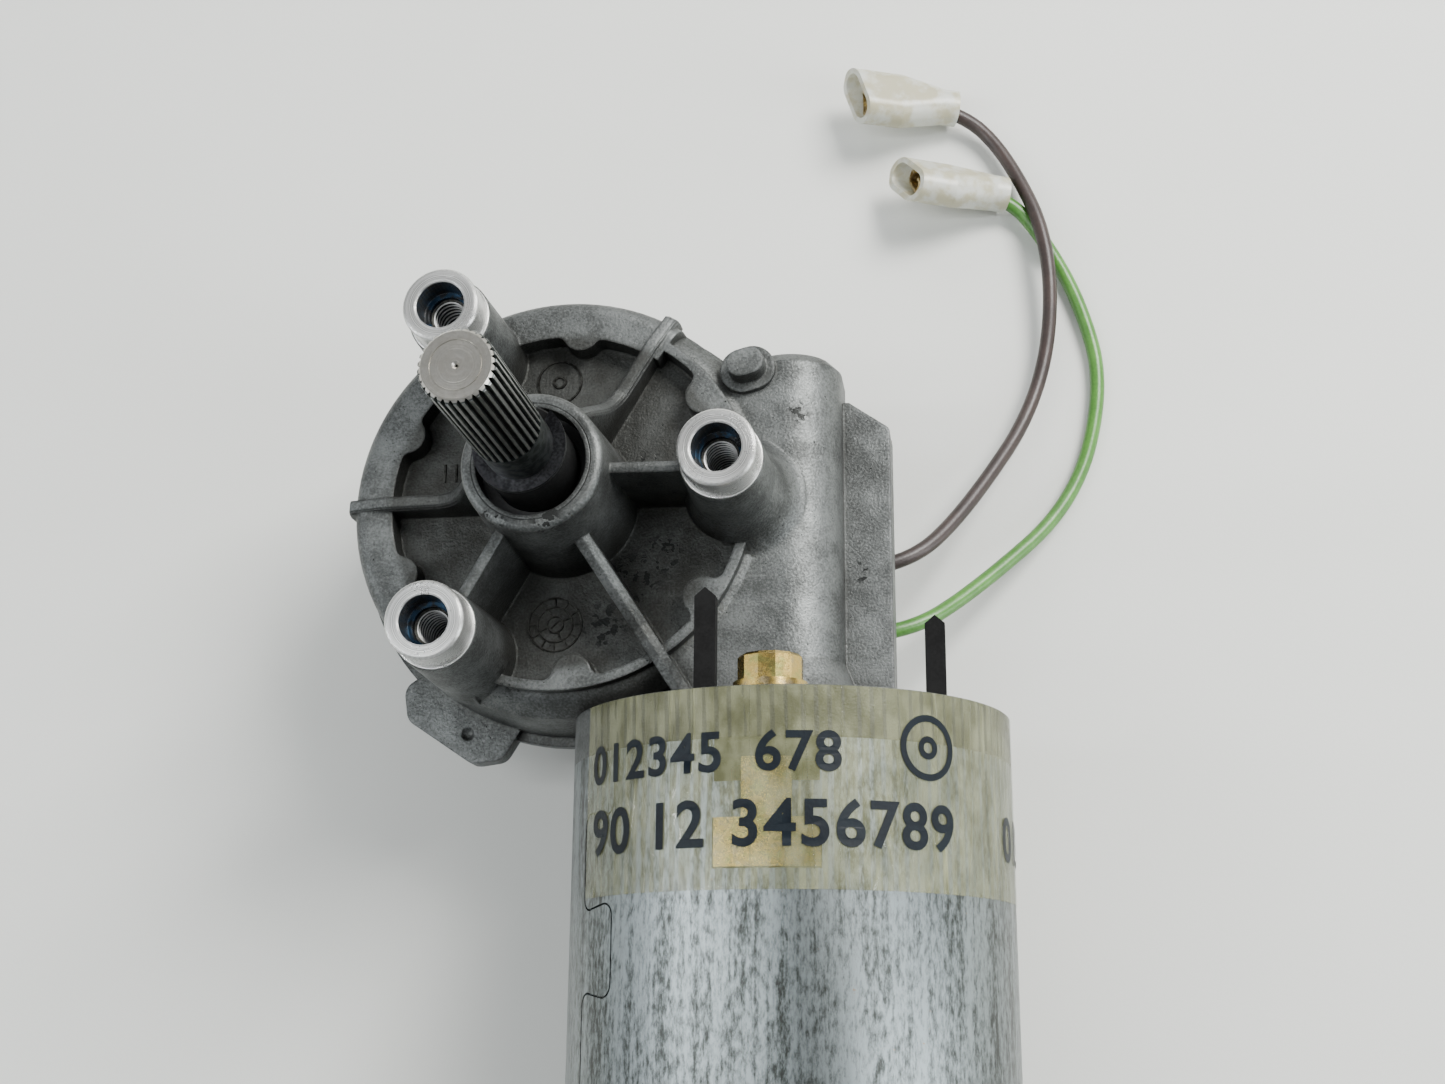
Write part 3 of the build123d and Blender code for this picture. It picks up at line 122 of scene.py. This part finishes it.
area_light("key", (0.55, 0.42, 0.62), (0.40, 0.40), 17.0, (1.0, 0.99, 0.97))
area_light("streak", (-0.37, -0.05, 0.64), (0.05, 0.9), 3.4, (0.95, 0.98, 1.0), (MOTOR_X, -0.08, MOTOR_Z))
area_light("right", (0.75, -0.20, 0.28), (0.25, 0.8), 5.0, (0.93, 0.97, 1.0), (MOTOR_X, -0.08, MOTOR_Z))
area_light("left", (-0.60, -0.10, 0.30), (0.5, 0.7), 1.6, (0.93, 0.96, 1.0))
area_light("back", (0.05, 0.75, 0.45), (0.9, 0.3), 2.4)

world = bpy.data.worlds.new("world")
world.use_nodes = True
sky = world.node_tree
# a pale room whose ceiling is darker straight above
up = sky.nodes.new("ShaderNodeSeparateXYZ")
sky.links.new(sky.nodes.new("ShaderNodeTexCoord").outputs["Generated"], up.inputs[0])
ceiling = sky.nodes.new("ShaderNodeMapRange")
sky.links.new(up.outputs["Z"], ceiling.inputs["Value"])
for key, value in (("From Min", 0.55), ("From Max", 0.97), ("To Min", 0.45), ("To Max", 0.12)):
    ceiling.inputs[key].default_value = value
sky.links.new(ceiling.outputs["Result"], sky.nodes["Background"].inputs["Strength"])
sky.nodes["Background"].inputs["Color"].default_value = (0.91, 0.95, 1.0, 1)
bpy.context.scene.world = world


# ---- procedural materials -------------------------------------------------------------------------------
SOCKET_NAMES = {"ior": "IOR", "specular_ior_level": "Specular IOR Level"}


class Look:
    """A Principled material and the few nodes that its detail is made from, placed in object coordinates."""

    def __init__(self, name, colour, **settings):
        self.edge = None
        self.material = bpy.data.materials.new(name)
        self.material.use_nodes = True
        self.tree = self.material.node_tree
        self.shader = self.tree.nodes["Principled BSDF"]
        self.place = self.tree.nodes.new("ShaderNodeTexCoord").outputs["Object"]
        self.set("Base Color", (*colour, 1))
        for key, value in settings.items():
            self.set(SOCKET_NAMES.get(key, key.replace("_", " ").title()), value)

    def put(self, socket, value):
        if isinstance(value, bpy.types.NodeSocket):
            self.tree.links.new(value, socket)
        else:
            socket.default_value = value

    def set(self, name, value):
        self.put(self.shader.inputs[name], value)

    def node(self, kind, inputs=(), **properties):
        made = self.tree.nodes.new("ShaderNode" + kind)
        for key, value in properties.items():
            setattr(made, key, value)
        for key, value in dict(inputs).items():
            self.put(made.inputs[key], value)
        return made

    def math(self, operation, *values):
        return self.node("Math", enumerate(values), operation=operation).outputs[0]

    def both(self, *masks):
        found = masks[0]
        for mask in masks[1:]:
            found = self.math("MULTIPLY", found, mask)
        return found

    def noise(self, size, detail=3.0, stretch=(1, 1, 1), roughness=0.55):
        """Noise from 0 to 1 with features about that size in metres, longer along an axis by its stretch."""
        spread = self.node("Mapping", {"Vector": self.place, "Scale": [1 / s for s in stretch]}).outputs[0]
        return self.node("TexNoise", {"Vector": spread, "Scale": 1 / size, "Detail": detail,
                                      "Roughness": roughness}).outputs["Fac"]

    def lines(self, along, size):
        """Irregular lines across a distance, as a lathe leaves them."""
        return self.node("TexNoise", {"W": along, "Scale": 1 / size, "Detail": 2.0},
                         noise_dimensions="1D").outputs["Fac"]

    def step(self, value, low, high):
        """0 at low, 1 at high, smooth between. low may be the larger."""
        return self.node("MapRange", {"Value": value, "From Min": low, "From Max": high},
                         interpolation_type="SMOOTHSTEP").outputs["Result"]

    def mix(self, factor, a, b):
        mixer = self.node("Mix", data_type="RGBA")
        for socket, value in ((0, factor), (6, a), (7, b)):
            value = (*value, 1) if isinstance(value, tuple) else value
            self.put(mixer.inputs[socket], value)
        return mixer.outputs[2]

    def blend(self, factor, a, b):
        return self.node("MapRange", {"Value": factor, "To Min": a, "To Max": b}).outputs["Result"]

    def axis(self, name):
        return self.node("SeparateXYZ", {0: self.place}).outputs[name]

    def around(self, point, keep=(1, 1, 0)):
        """Distance from a point, counting only the axes kept."""
        flat = self.node("VectorMath", {0: self.place, 1: keep}, operation="MULTIPLY").outputs[0]
        centre = [p * k for p, k in zip(point, keep)]
        return self.node("VectorMath", {0: flat, 1: centre}, operation="DISTANCE").outputs["Value"]

    def bump(self, *layers):
        """Bumps given as (height, depth in metres), one on another, on rounded edges where edge is set."""
        normal = self.node("Bevel", {"Radius": self.edge}, samples=4).outputs[0] if self.edge else None
        for height, depth in layers:
            inputs = {"Height": height, "Distance": depth}
            if normal is not None:
                inputs["Normal"] = normal
            normal = self.node("Bump", inputs).outputs[0]
        self.set("Normal", normal)


# Stained or pitted places on the casting: point and radius in millimetres.
FLECK_PATCHES = [((13.0, -14.5, -30.6), 7.0), ((8.0, -23.0, -30.6), 6.0), ((5.0, 12.0, -22.0), 4.0),
                 ((-7.0, 20.0, -30.6), 5.0), ((-6.7, -9.6, -4.0), 4.5), ((3.0, -9.9, -4.0), 4.0),
                 ((54.8, -12.1, -39.6), 3.2), ((16.0, 6.0, -30.6), 5.0), ((-8.0, -33.0, -27.0), 4.5),
                 ((19.0, -10.0, -30.6), 5.0), ((-14.0, 14.0, -30.6), 4.0), ((44.0, 16.0, -29.0), 3.0)]


def cast_aluminium():
    look = Look("cast_aluminium", (0.4, 0.4, 0.38), metallic=0.82)
    look.edge = 0.7 * MM
    height = look.axis("Z")
    boss_gap = look.math("MINIMUM", look.around((*BOSSES[0], 0)),
                         look.math("MINIMUM", look.around((*BOSSES[1], 0)), look.around((*BOSSES[2], 0))))
    hub_gap = look.around((0, 0, 0))
    groove_gap = look.math("ABSOLUTE", look.math("SUBTRACT", hub_gap, HUB_GROOVE_R))
    machined = look.both(look.step(boss_gap, COLLAR_R + 0.15 * MM, COLLAR_R),
                         look.step(height, COLLAR_FOOT_Z - 0.1 * MM, COLLAR_FOOT_Z))
    # painted shade: the hub's recess below its top
    recess_shade = look.both(look.step(hub_gap, HUB_RECESS_R + 0.2 * MM, HUB_RECESS_R),
                       look.step(height, HUB_TOP_Z - 0.1 * MM, HUB_TOP_Z - 0.5 * MM))
    # painted shade along a narrow groove around the hub's top
    groove_shade = look.both(look.step(groove_gap, 0.16 * MM, 0.06 * MM),
                       look.step(height, HUB_TOP_Z - 0.2 * MM, HUB_TOP_Z - 0.05 * MM))
    # inside the bores, which are coloured with painted shade below
    bore = look.both(look.step(boss_gap, BORE_R + 0.2 * MM, BORE_R), look.step(height, -0.2 * MM, -0.6 * MM))
    grain = look.noise(0.45 * MM, 4.0)
    patches = look.noise(7 * MM, 4.0)
    tone = look.math("ADD", look.math("MULTIPLY", grain, 0.45), look.math("MULTIPLY", patches, 0.55))
    skin = look.mix(look.step(tone, 0.36, 0.64), (0.062, 0.065, 0.063), (0.165, 0.174, 0.170))
    # painted shade: darker in the corners, by ambient occlusion, and on the recessed pocket floor, its strength
    # varied by noise
    corners = look.node("AmbientOcclusion", {"Distance": 14 * MM}, samples=6).outputs["AO"]
    low = look.step(height, -17 * MM, -27 * MM)
    within = look.both(look.step(hub_gap, INNER_FLOOR_R + 2.5 * MM, INNER_FLOOR_R), low)
    # painted shade on the recessed pocket floor
    pocket_shade = look.both(within, look.blend(look.noise(4 * MM, 3.0), 0.45, 0.9))
    painted_shade = look.both(look.step(corners, 0.95, 0.25), look.blend(patches, 0.45, 1.0))
    painted_shade = look.math("MAXIMUM", look.math("MULTIPLY", painted_shade, 0.95), pocket_shade)
    # the near-black colour of the painted shade
    skin = look.mix(painted_shade, skin, (0.022, 0.021, 0.017))
    near = None
    for point, radius in FLECK_PATCHES:
        gap = look.around([p * MM for p in point], (1, 1, 1))
        patch = look.step(gap, radius * MM, 0.4 * radius * MM)
        near = patch if near is None else look.math("MAXIMUM", near, patch)
    spots = look.step(look.noise(1.5 * MM, 2.0), 0.55, 0.57)
    pits = look.step(look.noise(0.6 * MM, 1.0), 0.735, 0.77)
    dark = look.math("MAXIMUM", look.both(spots, near), pits)
    # painted shade along the hub's groove, added to the stains and pits
    dark = look.math("MAXIMUM", dark, look.math("MULTIPLY", groove_shade, 0.8))
    skin = look.mix(dark, skin, (0.02, 0.021, 0.02))
    # painted shade: the hub's recess coloured nearly black
    skin = look.mix(recess_shade, skin, (0.018, 0.019, 0.017))
    turned = look.lines(look.math("ADD", boss_gap, height), 0.16 * MM)
    bright = look.mix(look.step(turned, 0.35, 0.65), (0.36, 0.36, 0.345), (0.78, 0.78, 0.76))
    skin = look.mix(machined, skin, bright)
    blue = look.both(look.step(look.noise(1.6 * MM, 2.0), 0.46, 0.54), look.step(height, -9 * MM, -4 * MM))
    # painted shade: the bores' walls nearly black, with real blue thread-lock patches near their tops
    bore_shade_and_threadlock = look.mix(look.math("MULTIPLY", blue, 0.6), (0.016, 0.017, 0.018), (0.006, 0.04, 0.085))
    look.set("Base Color", look.mix(bore, skin, bore_shade_and_threadlock))
    rough = look.blend(tone, 0.58, 0.40)
    rough = look.math("SUBTRACT", rough, look.math("MULTIPLY", machined, 0.2))
    look.set("Roughness", rough)
    rougher = look.math("SUBTRACT", 1.0, machined)
    look.bump((look.both(grain, rougher), 0.10 * MM),
              (look.both(look.noise(2.2 * MM, 3.0), rougher), 0.12 * MM),
              (look.both(turned, machined), 0.03 * MM), (look.both(dark, rougher), -0.05 * MM))
    return look.material


def zinc_can():
    look = Look("zinc_can", (0.5, 0.53, 0.55), metallic=0.9)
    mottle = look.noise(0.75 * MM, 6.0, (1, 3.0, 1), 0.72)
    rub = look.noise(5 * MM, 5.0, (1, 9, 1), 0.65)
    streak = look.noise(1.3 * MM, 3.0, (1, 60, 1))
    along = look.math("ADD", look.math("MULTIPLY", rub, 0.32), look.math("MULTIPLY", streak, 0.18))
    tone = look.math("ADD", look.math("MULTIPLY", mottle, 0.5), along)
    base = look.mix(look.step(tone, 0.40, 0.58), (0.038, 0.041, 0.037), (0.215, 0.245, 0.248))
    rust = look.both(look.step(look.noise(1.4 * MM, 3.0), 0.72, 0.76), look.step(rub, 0.5, 0.6))
    look.set("Base Color", look.mix(look.math("MULTIPLY", rust, 0.7), base, (0.25, 0.15, 0.07)))
    look.set("Roughness", look.blend(tone, 0.5, 0.2))
    look.bump((mottle, 0.03 * MM), (streak, 0.02 * MM))
    return look.material


def plain_metal(name, dark, light, rough, grain=0.5 * MM, stretch=(1, 1, 1), depth=0.02 * MM, metallic=1.0):
    """Metal whose colour and gloss wander between two tones."""
    look = Look(name, light, metallic=metallic)
    tone = look.math("ADD", look.math("MULTIPLY", look.noise(grain, 4.0, stretch), 0.5),
                     look.math("MULTIPLY", look.noise(8 * grain, 3.0), 0.5))
    look.set("Base Color", look.mix(look.step(tone, 0.38, 0.62), dark, light))
    look.set("Roughness", look.blend(tone, rough + 0.15, rough - 0.1))
    look.bump((tone, depth))
    return look.material


def shaft_steel():
    look = Look("shaft_steel", (0.2, 0.2, 0.2), metallic=1.0)
    height = look.axis("Z")
    gap = look.around((0, 0, 0))
    end_face = look.step(height, SHAFT_TOP_Z - 0.5 * MM, SHAFT_TOP_Z - 0.3 * MM)
    serrated = look.step(height, SERRATION_FROM_Z, SERRATION_FROM_Z + 0.3 * MM)
    tips = look.both(look.step(gap, SHAFT_R + 0.07 * MM, SHAFT_R + 0.17 * MM), serrated)
    stain = look.noise(1.5 * MM, 4.0)
    rings = look.lines(gap, 0.2 * MM)
    dark = look.mix(look.step(stain, 0.4, 0.6), (0.035, 0.042, 0.040), (0.10, 0.115, 0.11))
    worn = look.mix(stain, (0.30, 0.31, 0.30), (0.50, 0.50, 0.48))
    # painted shade in the serration grooves
    valley_shade = look.both(look.step(gap, SHAFT_R, SHAFT_R - 0.25 * MM), serrated)
    dark = look.mix(valley_shade, dark, (0.008, 0.009, 0.008))
    face = look.mix(look.step(stain, 0.35, 0.65), (0.34, 0.32, 0.28), (0.52, 0.50, 0.45))
    face = look.mix(look.math("MULTIPLY", rings, 0.4), face, (0.66, 0.65, 0.60))
    colour = look.mix(look.math("MULTIPLY", tips, 0.8), dark, worn)
    look.set("Base Color", look.mix(end_face, colour, face))
    look.set("Roughness", look.blend(stain, 0.42, 0.24))
    look.bump((look.lines(height, 0.3 * MM), 0.008 * MM), (look.both(rings, end_face), 0.02 * MM))
    return look.material


def chromate():
    """Yellow zinc chromate, with its drift from gold to green and pink."""
    look = Look("chromate", (0.7, 0.5, 0.2), metallic=1.0)
    drift = look.noise(3 * MM, 3.0)
    gold = look.mix(look.step(drift, 0.35, 0.5), (0.34, 0.31, 0.10), (0.46, 0.33, 0.10))
    look.set("Base Color", look.mix(look.step(drift, 0.52, 0.66), gold, (0.38, 0.30, 0.16)))
    look.set("Roughness", look.blend(look.noise(0.8 * MM, 3.0), 0.18, 0.36))
    look.bump((look.noise(0.6 * MM, 2.0), 0.015 * MM))
    return look.material


def plastic(name, dark, light, rough, grain=0.6 * MM, depth=0.03 * MM, **settings):
    look = Look(name, light, **settings)
    tone = look.math("ADD", look.math("MULTIPLY", look.noise(grain, 3.0), 0.4),
                     look.math("MULTIPLY", look.noise(6 * MM, 3.0), 0.6))
    look.set("Base Color", look.mix(look.step(tone, 0.35, 0.65), dark, light))
    look.set("Roughness", look.blend(tone, rough + 0.1, rough - 0.1))
    look.bump((look.noise(grain, 2.0), depth))
    return look.material


def clear_tape():
    """Yellowed clear film: creased lengthwise, thicker with glue in places."""
    look = Look("tape", (0.62, 0.60, 0.42), ior=1.48)
    glue = look.noise(3.5 * MM, 4.0, (1, 2.0, 1))
    creases = look.noise(5.5 * MM, 1.0, (1, 14, 1))
    ridge = look.step(look.math("ABSOLUTE", look.math("SUBTRACT", creases, 0.5)), 0.012, 0.0)
    look.set("Base Color", look.mix(look.step(glue, 0.35, 0.65), (0.20, 0.205, 0.10), (0.36, 0.37, 0.22)))
    look.set("Roughness", look.blend(glue, 0.05, 0.16))
    look.set("Alpha", look.math("ADD", look.blend(glue, 0.16, 0.34), look.math("MULTIPLY", ridge, 0.16)))
    look.bump((creases, 0.22 * MM), (ridge, 0.12 * MM))
    return look.material


def clear_nylon():
    look = Look("clear_nylon", (0.86, 0.86, 0.80), ior=1.5, transmission_weight=0.35, subsurface_weight=0.25)
    look.set("Subsurface Radius", (4 * MM, 3.5 * MM, 2.5 * MM))
    cloud = look.noise(4 * MM, 4.0)
    look.set("Base Color", look.mix(look.step(cloud, 0.42, 0.62), (0.56, 0.53, 0.37), (0.72, 0.73, 0.66)))
    look.set("Roughness", look.blend(cloud, 0.22, 0.42))
    look.bump((look.noise(0.7 * MM, 2.0), 0.03 * MM))
    return look.material


def laminations():
    look = Look("lamination", (0.3, 0.3, 0.32), metallic=1.0, roughness=0.4)
    sheets = look.lines(look.axis("Y"), 0.5 * MM)
    look.set("Base Color", look.mix(sheets, (0.16, 0.16, 0.17), (0.38, 0.38, 0.40)))
    look.bump((sheets, 0.1 * MM))
    return look.material


LOOKS = {
    "cast": cast_aluminium(),
    "zinc_can": zinc_can(),
    "shaft_steel": shaft_steel(),
    "chromate": chromate(),
    "tape": clear_tape(),
    "clear_nylon": clear_nylon(),
    "lamination": laminations(),
    "zinc_steel": plain_metal("zinc_steel", (0.36, 0.37, 0.38), (0.62, 0.64, 0.65), 0.34),
    # nearly black cast metal as painted shade, worn by the thread flanks and the raised marks on the pocket floor
    "painted_shade_cast": plain_metal("painted_shade_cast", (0.016, 0.016, 0.014), (0.06, 0.06, 0.055), 0.5),
    "thread_steel": plain_metal("thread_steel", (0.30, 0.30, 0.29), (0.50, 0.50, 0.49), 0.38, 3 * MM),
    "dark_steel": plain_metal("dark_steel", (0.02, 0.02, 0.022), (0.07, 0.07, 0.075), 0.32),
    "bronze": plain_metal("bronze", (0.32, 0.21, 0.10), (0.52, 0.37, 0.20), 0.42),
    "brass": plain_metal("brass", (0.42, 0.30, 0.13), (0.72, 0.56, 0.28), 0.30),
    "copper": plain_metal("copper", (0.35, 0.12, 0.05), (0.72, 0.31, 0.16), 0.33),
    "ferrite": plain_metal("ferrite", (0.05, 0.05, 0.055), (0.12, 0.12, 0.13), 0.55, metallic=0.5),
    "rubber_black": plastic("rubber_black", (0.012, 0.012, 0.012), (0.03, 0.03, 0.03), 0.6),
    "black_plastic": plastic("black_plastic", (0.002, 0.002, 0.002), (0.006, 0.006, 0.006), 0.55,
                             specular_ior_level=0.12),
    "wheel_nylon": plastic("wheel_nylon", (0.62, 0.58, 0.46), (0.80, 0.77, 0.66), 0.42,
                           subsurface_weight=0.1),
    "carbon": plastic("carbon", (0.02, 0.02, 0.02), (0.06, 0.06, 0.06), 0.5),
    "pvc_brown": plastic("pvc_brown", (0.022, 0.014, 0.012), (0.040, 0.026, 0.022), 0.42),
    "pvc_green": plastic("pvc_green", (0.045, 0.150, 0.020), (0.075, 0.22, 0.035), 0.36),
}


def wear(piece, slot_name):
    piece.data.materials.clear()
    piece.data.materials.append(LOOKS[slot_name])


for row in frame["record"]["subparts"]:
    wear(nodes[row["node"]], row["material_slot"])

# ---- floor ----------------------------------------------------------------------------------------------
FLOOR_HALF = 1.6
floor_mesh = bpy.data.meshes.new("floor")
floor_corners = [(x * FLOOR_HALF, y * FLOOR_HALF, REST_Z) for x, y in ((-1, -1), (1, -1), (1, 1), (-1, 1))]
floor_mesh.from_pydata(floor_corners, [], [(0, 1, 2, 3)])
floor = link("floor", floor_mesh)
paper = Look("floor", (0.76, 0.76, 0.73), roughness=0.75)
paper.set("Base Color", paper.mix(paper.noise(60 * MM, 3.0), (0.66, 0.67, 0.63), (0.71, 0.715, 0.68)))
paper.bump((paper.noise(0.8 * MM, 3.0), 0.02 * MM))
floor.data.materials.append(paper.material)

# ---- leads ----------------------------------------------------------------------------------------------
LEAD_D = 3.0 * MM
BROWN_ROUTE = [(52.2, -6.6, -57.6), (62.0, -6.6, -57.6), (74.0, 6.4, -65.0), (91.2, 35.0, -75.4),
               (94.2, 66.0, -71.4), (84.8, 91.8, -75.6), (74.6, 101.4, -73.6), (64.12, 101.95, -70.29)]
GREEN_ROUTE = [(52.2, -20.0, -57.6), (62.0, -20.0, -57.6), (75.5, -9.6, -66.0), (96.5, 11.0, -76.2),
               (103.4, 36.5, -76.35), (99.4, 55.5, -76.35), (92.4, 70.4, -75.9), (84.6, 80.2, -74.0),
               (74.29, 80.87, -70.23)]


def lead(name, route, slot_name):
    data = bpy.data.curves.new(name, "CURVE")
    data.dimensions = "3D"
    data.bevel_depth = LEAD_D / 2
    data.bevel_resolution = 6
    data.resolution_u = 24
    data.use_fill_caps = True
    spline = data.splines.new("NURBS")
    spline.points.add(len(route) - 1)
    for point, place in zip(spline.points, route):
        point.co = (*[c * MM for c in place], 1)
    spline.order_u = 3
    spline.use_endpoint_u = True
    piece = link(name + "_cord", data)
    wear(piece, slot_name)
    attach(piece, "housing")
    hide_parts(name)


lead("lead_brown", BROWN_ROUTE, "pvc_brown")
lead("lead_green", GREEN_ROUTE, "pvc_green")


# ---- pieces added to the casting ------------------------------------------------------------------------
def piece_from(name, vertices, faces, slot_name, body="housing", smooth=True):
    mesh = bpy.data.meshes.new(name)
    mesh.from_pydata(vertices, [], faces)
    mesh.validate()
    if smooth:
        mesh.shade_smooth()
    made = link(name, mesh)
    wear(made, slot_name)
    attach(made, body)
    return made


THREAD_PITCH = 1.25 * MM
THREAD_R = 3.42 * MM
THREAD_FROM_Z = -5.2 * MM
THREAD_TURNS = 14
THREAD_STEPS = 36
# Half sections of the ridge: distance in from the hole's wall, half height in pitches.
THREAD_FLANK = [(-0.05 * MM, 0.30), (0.42 * MM, 0.12)]
THREAD_CREST = [(0.41 * MM, 0.12), (0.62 * MM, 0.05)]


def thread_ridge(name, centre, half, look_name):
    """Helical ridge on the wall of a threaded hole."""
    section = half + [(into, -up) for into, up in reversed(half)]
    vertices = []
    for k in range(THREAD_TURNS * THREAD_STEPS + 1):
        turn = 2 * pi * k / THREAD_STEPS
        z = THREAD_FROM_Z - THREAD_PITCH * (k / THREAD_STEPS + 0.5)
        vertices += [(centre[0] + (THREAD_R - into) * cos(turn), centre[1] + (THREAD_R - into) * sin(turn),
                      z + up * THREAD_PITCH) for into, up in section]
    size = len(section)
    faces = [(k * size + j, k * size + j + 1, (k + 1) * size + j + 1, (k + 1) * size + j)
             for k in range(THREAD_TURNS * THREAD_STEPS) for j in range(size - 1)]
    wear(piece_from(name, vertices, faces, "zinc_steel", smooth=False), look_name)


for number, centre in enumerate(BOSSES):
    # the thread flanks wear painted shade, so dark gaps show between the crests
    thread_ridge(f"thread_flanks_{number + 1}", centre, THREAD_FLANK, "painted_shade_cast")
    thread_ridge(f"thread_crests_{number + 1}", centre, THREAD_CREST, "thread_steel")


def raised_strip(points, half, base_z, top_z, closed=False):
    """Vertices and faces of a low square-shouldered strip along a path in the plane."""
    vertices, faces = [], []
    count = len(points)
    for k, point in enumerate(points):
        before = points[k - 1] if k or closed else point
        after = points[(k + 1) % count] if k < count - 1 or closed else point
        along = Vector((after[0] - before[0], after[1] - before[1])).normalized()
        side = Vector((-along.y, along.x)) * half
        for sign, z, keep in ((-1, base_z, 1.0), (-1, top_z, 0.6), (1, top_z, 0.6), (1, base_z, 1.0)):
            vertices.append((point[0] + sign * side.x * keep, point[1] + sign * side.y * keep, z))
    for k in range(count if closed else count - 1):
        a, b = 4 * k, 4 * ((k + 1) % count)
        faces += [(a + j, a + j + 1, b + j + 1, b + j) for j in range(3)]
    if not closed:
        faces += [(0, 1, 2, 3), tuple(4 * (count - 1) + j for j in (3, 2, 1, 0))]
    return vertices, faces


def joined(strips):
    vertices, faces = [], []
    for more, facets in strips:
        start = len(vertices)
        vertices += more
        faces += [tuple(start + i for i in facet) for facet in facets]
    return vertices, faces


def circle(x, y, r, count=48):
    return [(x + r * cos(2 * pi * k / count), y + r * sin(2 * pi * k / count)) for k in range(count)]


MARK_H = 0.28 * MM
MARK_BASE = FLOOR_Z - 0.05 * MM


def mark(name, strips):
    vertices, faces = joined([raised_strip([(x * MM, y * MM) for x, y in points], half * MM, MARK_BASE,
                                           FLOOR_Z + MARK_H, closed) for points, half, closed in strips])
    # the raised marks wear painted shade, like the pocket floor around them
    wear(piece_from(name, vertices, faces, "cast", smooth=False), "painted_shade_cast")


# The date wheel, in millimetres: three rings, the rays between them as (count, turn, radii), and a pointer.
DATE_X, DATE_Y = -1.2, -22.8
DATE_RINGS = (5.0, 3.3, 1.5)
DATE_RAYS = [(12, 0, (3.4, 4.9)), (4, 0.4, (1.6, 3.2))]
POINTER = 0.7
RAY_HALF_W = 0.16
date_strips = [(circle(DATE_X, DATE_Y, r), 0.2, True) for r in DATE_RINGS]
for count, start_turn, radii in DATE_RAYS:
    for k in range(count):
        turn = 2 * pi * k / count + start_turn
        ray = [(DATE_X + cos(turn) * r, DATE_Y + sin(turn) * r) for r in radii]
        date_strips.append((ray, RAY_HALF_W, False))
date_strips.append(([(DATE_X + d, DATE_Y + d) for d in (-POINTER, POINTER)], RAY_HALF_W, False))
mark("date_wheel", date_strips)

# A plain ring and dot, and two bars, where the casting carries raised marks.
RING_X, RING_Y = -1.8, 24.7
mark("ring_mark", [(circle(RING_X, RING_Y, 4.2), 0.26, True), (circle(RING_X, RING_Y, 1.1, 20), 0.3, True)])
BAR_X, BAR_Y = -23.6, 7.2
BAR_HALF_L = 1.8
BAR_GAP = 2.2
mark("bar_mark", [([(x, BAR_Y - BAR_HALF_L), (x, BAR_Y + BAR_HALF_L)], 0.3, False)
                  for x in (BAR_X, BAR_X + BAR_GAP)])

# ---- print on the tape ----------------------------------------------------------------------------------
LOOKS["ink"] = plastic("ink", (0.003, 0.005, 0.008), (0.006, 0.010, 0.014), 0.45, specular_ior_level=0.15)
PRINT_R = CAN_R + 0.24 * MM
ARC_PER_DEGREE = radians(1) * PRINT_R


def printed(name, mesh):
    made = link(name, mesh)
    wear(made, "ink")
    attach(made, "housing")


def print_number(name, digits, angle, foot_s, tall):
    """Plain numerals wrapped on the tape from an angle towards +X, their feet at a station."""
    text = bpy.data.curves.new(name, "FONT")
    text.body = digits
    text.space_character = 1.1
    text.offset = 0.022
    flat = link(name + "_flat", text)
    bpy.context.view_layer.update()
    mesh = bpy.data.meshes.new_from_object(flat)
    bpy.data.objects.remove(flat)
    scale = tall * MM / max(v.co.y for v in mesh.vertices)
    start = min(v.co.x for v in mesh.vertices)
    for v in mesh.vertices:
        across = (v.co.x - start) * scale
        v.co = on_can(angle - across / ARC_PER_DEGREE, foot_s * MM - v.co.y * scale, PRINT_R)
    printed(name, mesh)


# Rows of dial numbers and a plain ring, where the tape carries print.
ROW_ONE_S = 54.8
ROW_TWO_S = 66.7
for number, (digits, angle, foot_s, tall) in enumerate([
        ("012345", 142.5, ROW_ONE_S, 6.4), ("678", 92.5, ROW_ONE_S, 6.4), ("90 12", 142.0, ROW_TWO_S, 7.4),
        ("3456789", 98.0, ROW_TWO_S, 7.4), ("012", 19.4, ROW_TWO_S, 7.4)]):
    print_number(f"tape_print_{number + 1}", digits, angle, foot_s, tall)


RING_ANGLE = 49.7
RING_S = 50.3


def print_ring(name, outer, inner):
    """Flat ring on the tape between two radii in millimetres."""
    vertices, faces = [], []
    count = 48
    for k in range(count):
        turn = 2 * pi * k / count
        for r in (outer, inner):
            across = r * MM * cos(turn) / ARC_PER_DEGREE
            vertices.append(on_can(RING_ANGLE + across, (RING_S + r * sin(turn)) * MM, PRINT_R))
        nxt = (k + 1) % count
        faces.append((2 * k, 2 * k + 1, 2 * nxt + 1, 2 * nxt))
    mesh = bpy.data.meshes.new(name)
    mesh.from_pydata(vertices, [], faces)
    printed(name, mesh)


print_ring("tape_print_ring", 5.4, 4.3)
print_ring("tape_print_dot", 1.9, 0.9)
